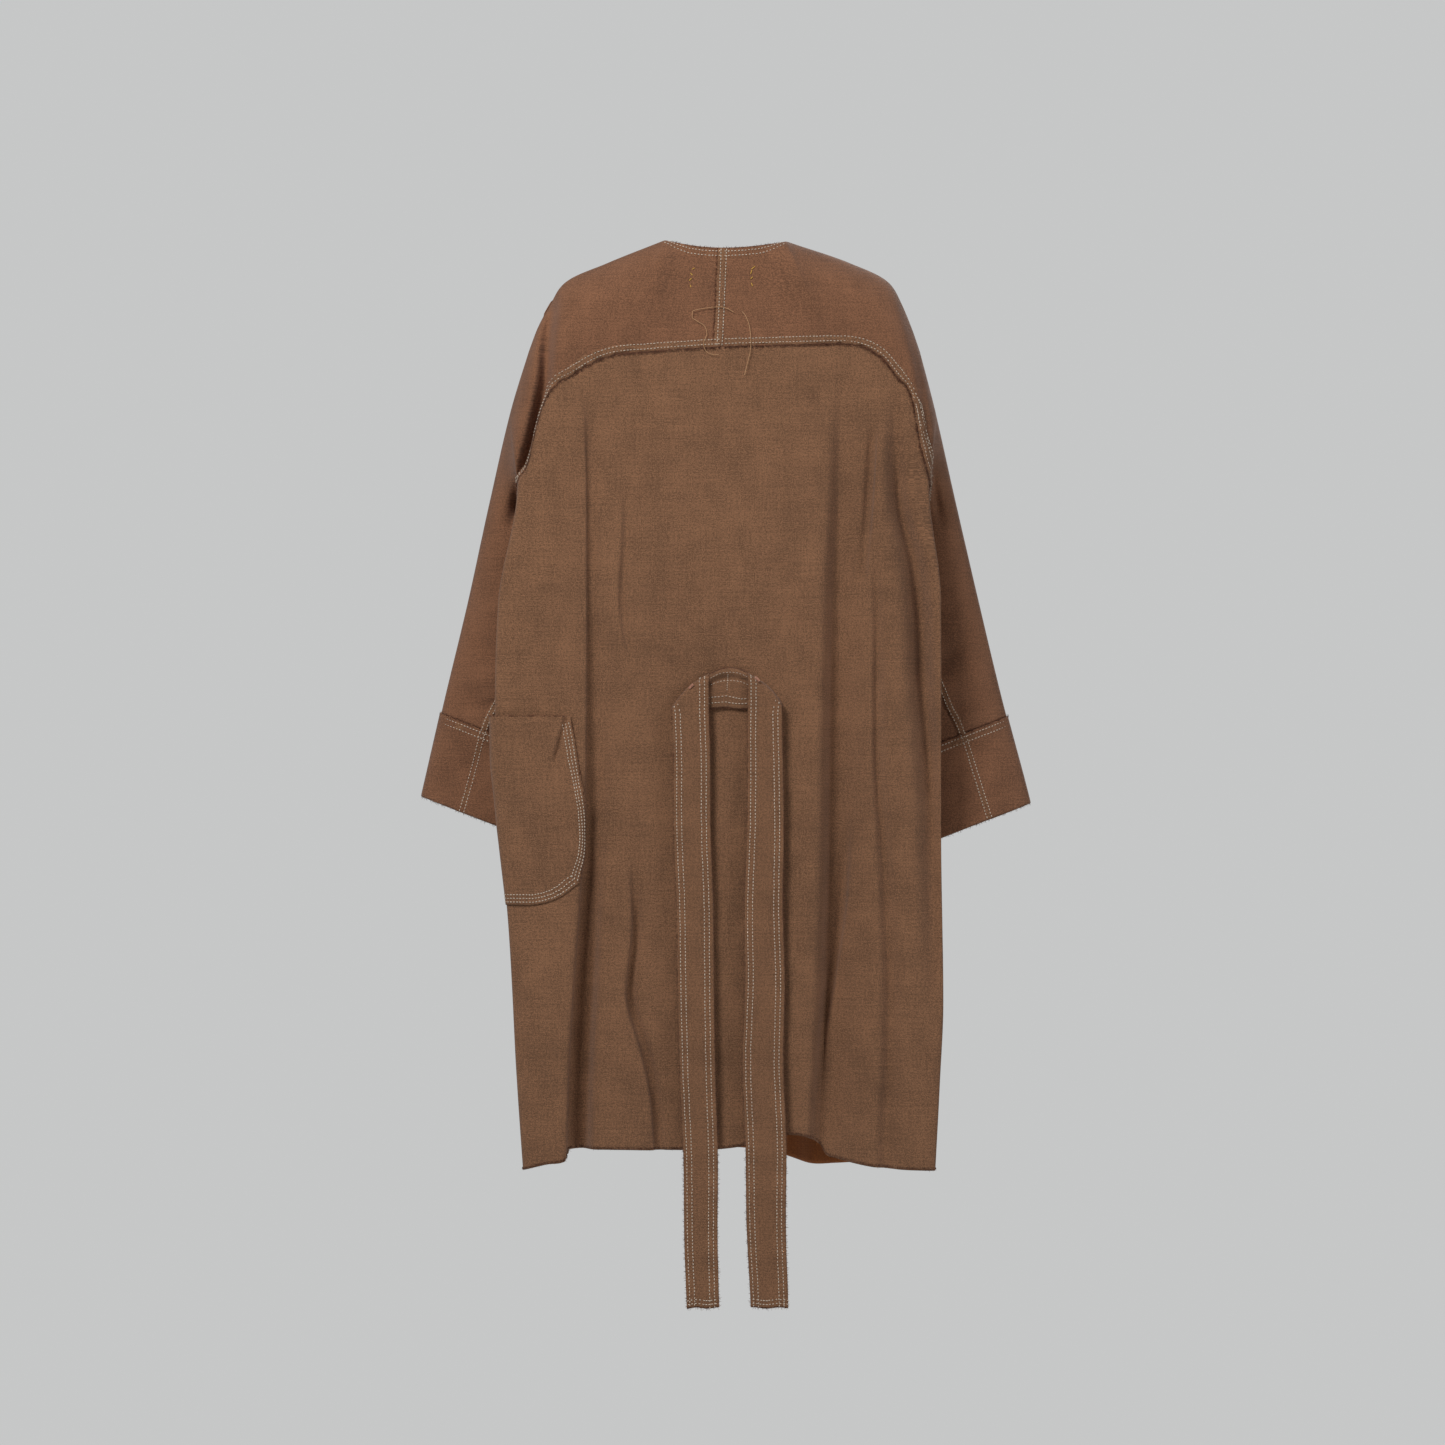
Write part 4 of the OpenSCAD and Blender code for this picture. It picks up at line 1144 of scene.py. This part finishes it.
def belt_tacks():
    """A short bar tack on the fold at each end of the belt."""
    parts, count = [], 8
    for side, (x, z) in ((-1, (-0.0360, -0.5180)), (1, (0.0400, -0.5095))):
        spot = np.array([x, BELT_Y - 0.0072, z])
        slant = unit(np.array([side, 0, -1.0]))
        place = spot[None] + slant[None] * np.linspace(-0.0030, 0.0030, count)[:, None]
        run = np.tile(unit(np.array([side, 0, 1.0])), (count, 1))
        out = np.tile(OUTWARD, (count, 1))
        parts.append(bars(place, run, np.cross(out, run), out, np.full(count, 0.0030), 0.00045))
    return thread_object("smock_belt_tacks", parts, rust_thread)


# ---------------------------------------------------------------- putting the smock together
back = back_panel()
pocket = side_pocket()
centre_fell, centre_stitches, centre_fray = centre_back()
back_stitches, back_fray = back_sewing()
belt_piece, bar_tacks = belt(), belt_tacks()
label, tacks, tails = neck_label(), label_tacks(), thread_tails()
for piece in (back, pocket, centre_fell, centre_stitches, centre_fray, back_stitches, back_fray, belt_piece,
              bar_tacks, label, tacks, tails):
    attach(piece, "garment")
stands_for(centre_fell, "seam_cloth", "centre_back_fell")
stands_for(bar_tacks, "tack_thread", "belt_tacks")
stands_for(tacks, "tack_thread", "label_tacks")

for side in (-1, 1):
    end = name_of(side)
    arm, cuff_piece, inner_facing = yoke_and_sleeve(side), cuff(side), neck_facing(side)
    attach(inner_facing, "garment")
    with_sleeve(arm)
    with_sleeve(cuff_piece)
    sewing = arm_sewing(side)
    for key in ("yoke_fell", "armhole_fell", "underarm_fell", "cuff_seam"):
        stands_for(sewing[key], "seam_cloth", key + "_" + end)
    hung_sheet(arm, "yoke_cloth", ["yoke_" + end, "sleeve_" + end],
               with_pieces=[sewing[key] for key in sewing if key != "cuff_seam"])
    hung_sheet(cuff_piece, "yoke_cloth", ["cuff_" + end],
               with_pieces=[sewing["cuff_seam"]])
    hung_sheet(inner_facing, "facing_cloth", ["neck_facing_" + end])

    front, facing, front_threads = front_panel(side), front_facing(side), front_sewing(side)
    for piece in (*front_threads, front, facing):
        with_front(piece)
    hung_sheet(front, "skirt_cloth", ["chest_" + end, "front_panel_" + end],
               with_pieces=front_threads)
    hung_sheet(facing, "facing_cloth", ["chest_facing_" + end, "front_facing_" + end])

    tie_piece, tie_threads = tie(side), tie_sewing(side)
    for piece in (*tie_threads, tie_piece):
        with_tie(piece)
    hung_sheet(tie_piece, "belt_cloth", ["belt_fold_" + end, "tie_" + end],
               with_pieces=tie_threads)

hung_sheet(back, "body_cloth", ["back_panel"], with_pieces=[back_fray])
hung_sheet(pocket, "body_cloth", ["side_pocket"])
hung_sheet(belt_piece, "belt_cloth", ["belt_centre"])
hung_sheet(label, "label_cloth", ["neck_label"])


# ---------------------------------------------------------------- studio
FLOOR_Z = -1.9
AIM = (0, 0, -0.6)
# name, place, size in metres and power in watts
LIGHTS = (
    ("key", (-1.6, -2.5, 2.1), 1.1, 105),
    ("fill", (3.0, -1.6, 0.3), 1.2, 26),
    ("front", (1.5, 3.6, 1.2), 2.4, 90),
)


def studio():
    """A pale floor below the view, a pale surround, and three soft lights.

    The key shines from the upper left of the back, the fill from its right, and the third one on the front.
    """
    corners = [[-4, -6.5, FLOOR_Z], [4, -6.5, FLOOR_Z], [4, 2.4, FLOOR_Z], [-4, 2.4, FLOOR_Z]]
    floor = mesh_object("studio_floor", np.array(corners), np.array([[0, 1, 2, 3]]))
    pale = bpy.data.materials.new("studio_floor")
    pale.use_nodes = True
    shader = pale.node_tree.nodes["Principled BSDF"]
    shader.inputs["Base Color"].default_value = (0.62, 0.63, 0.64, 1)
    shader.inputs["Roughness"].default_value = 0.9
    floor.data.materials.append(pale)
    world = bpy.data.worlds.new("studio")
    world.use_nodes = True
    nodes, links = world.node_tree.nodes, world.node_tree.links
    backdrop = nodes["Background"]
    backdrop.inputs["Color"].default_value = (0.566, 0.572, 0.572, 1)
    ambient = nodes.new("ShaderNodeBackground")
    ambient.inputs["Color"].default_value = (0.62, 0.62, 0.64, 1)
    ambient.inputs["Strength"].default_value = 0.22
    path, choice = nodes.new("ShaderNodeLightPath"), nodes.new("ShaderNodeMixShader")
    links.new(path.outputs["Is Camera Ray"], choice.inputs["Fac"])
    links.new(ambient.outputs["Background"], choice.inputs[1])
    links.new(backdrop.outputs["Background"], choice.inputs[2])
    links.new(choice.outputs["Shader"], nodes["World Output"].inputs["Surface"])
    bpy.context.scene.world = world
    for name, place, size, power in LIGHTS:
        light = bpy.data.lights.new(name, "AREA")
        light.size, light.energy = size, power
        lamp = bpy.data.objects.new(name, light)
        lamp.location = place
        aim = np.array(AIM) - np.array(place)
        tilt, turn = math.acos(-aim[2] / np.linalg.norm(aim)), math.atan2(aim[1], aim[0]) - QUARTER_TURN
        lamp.rotation_euler = (tilt, 0, turn)
        bpy.context.collection.objects.link(lamp)


studio()
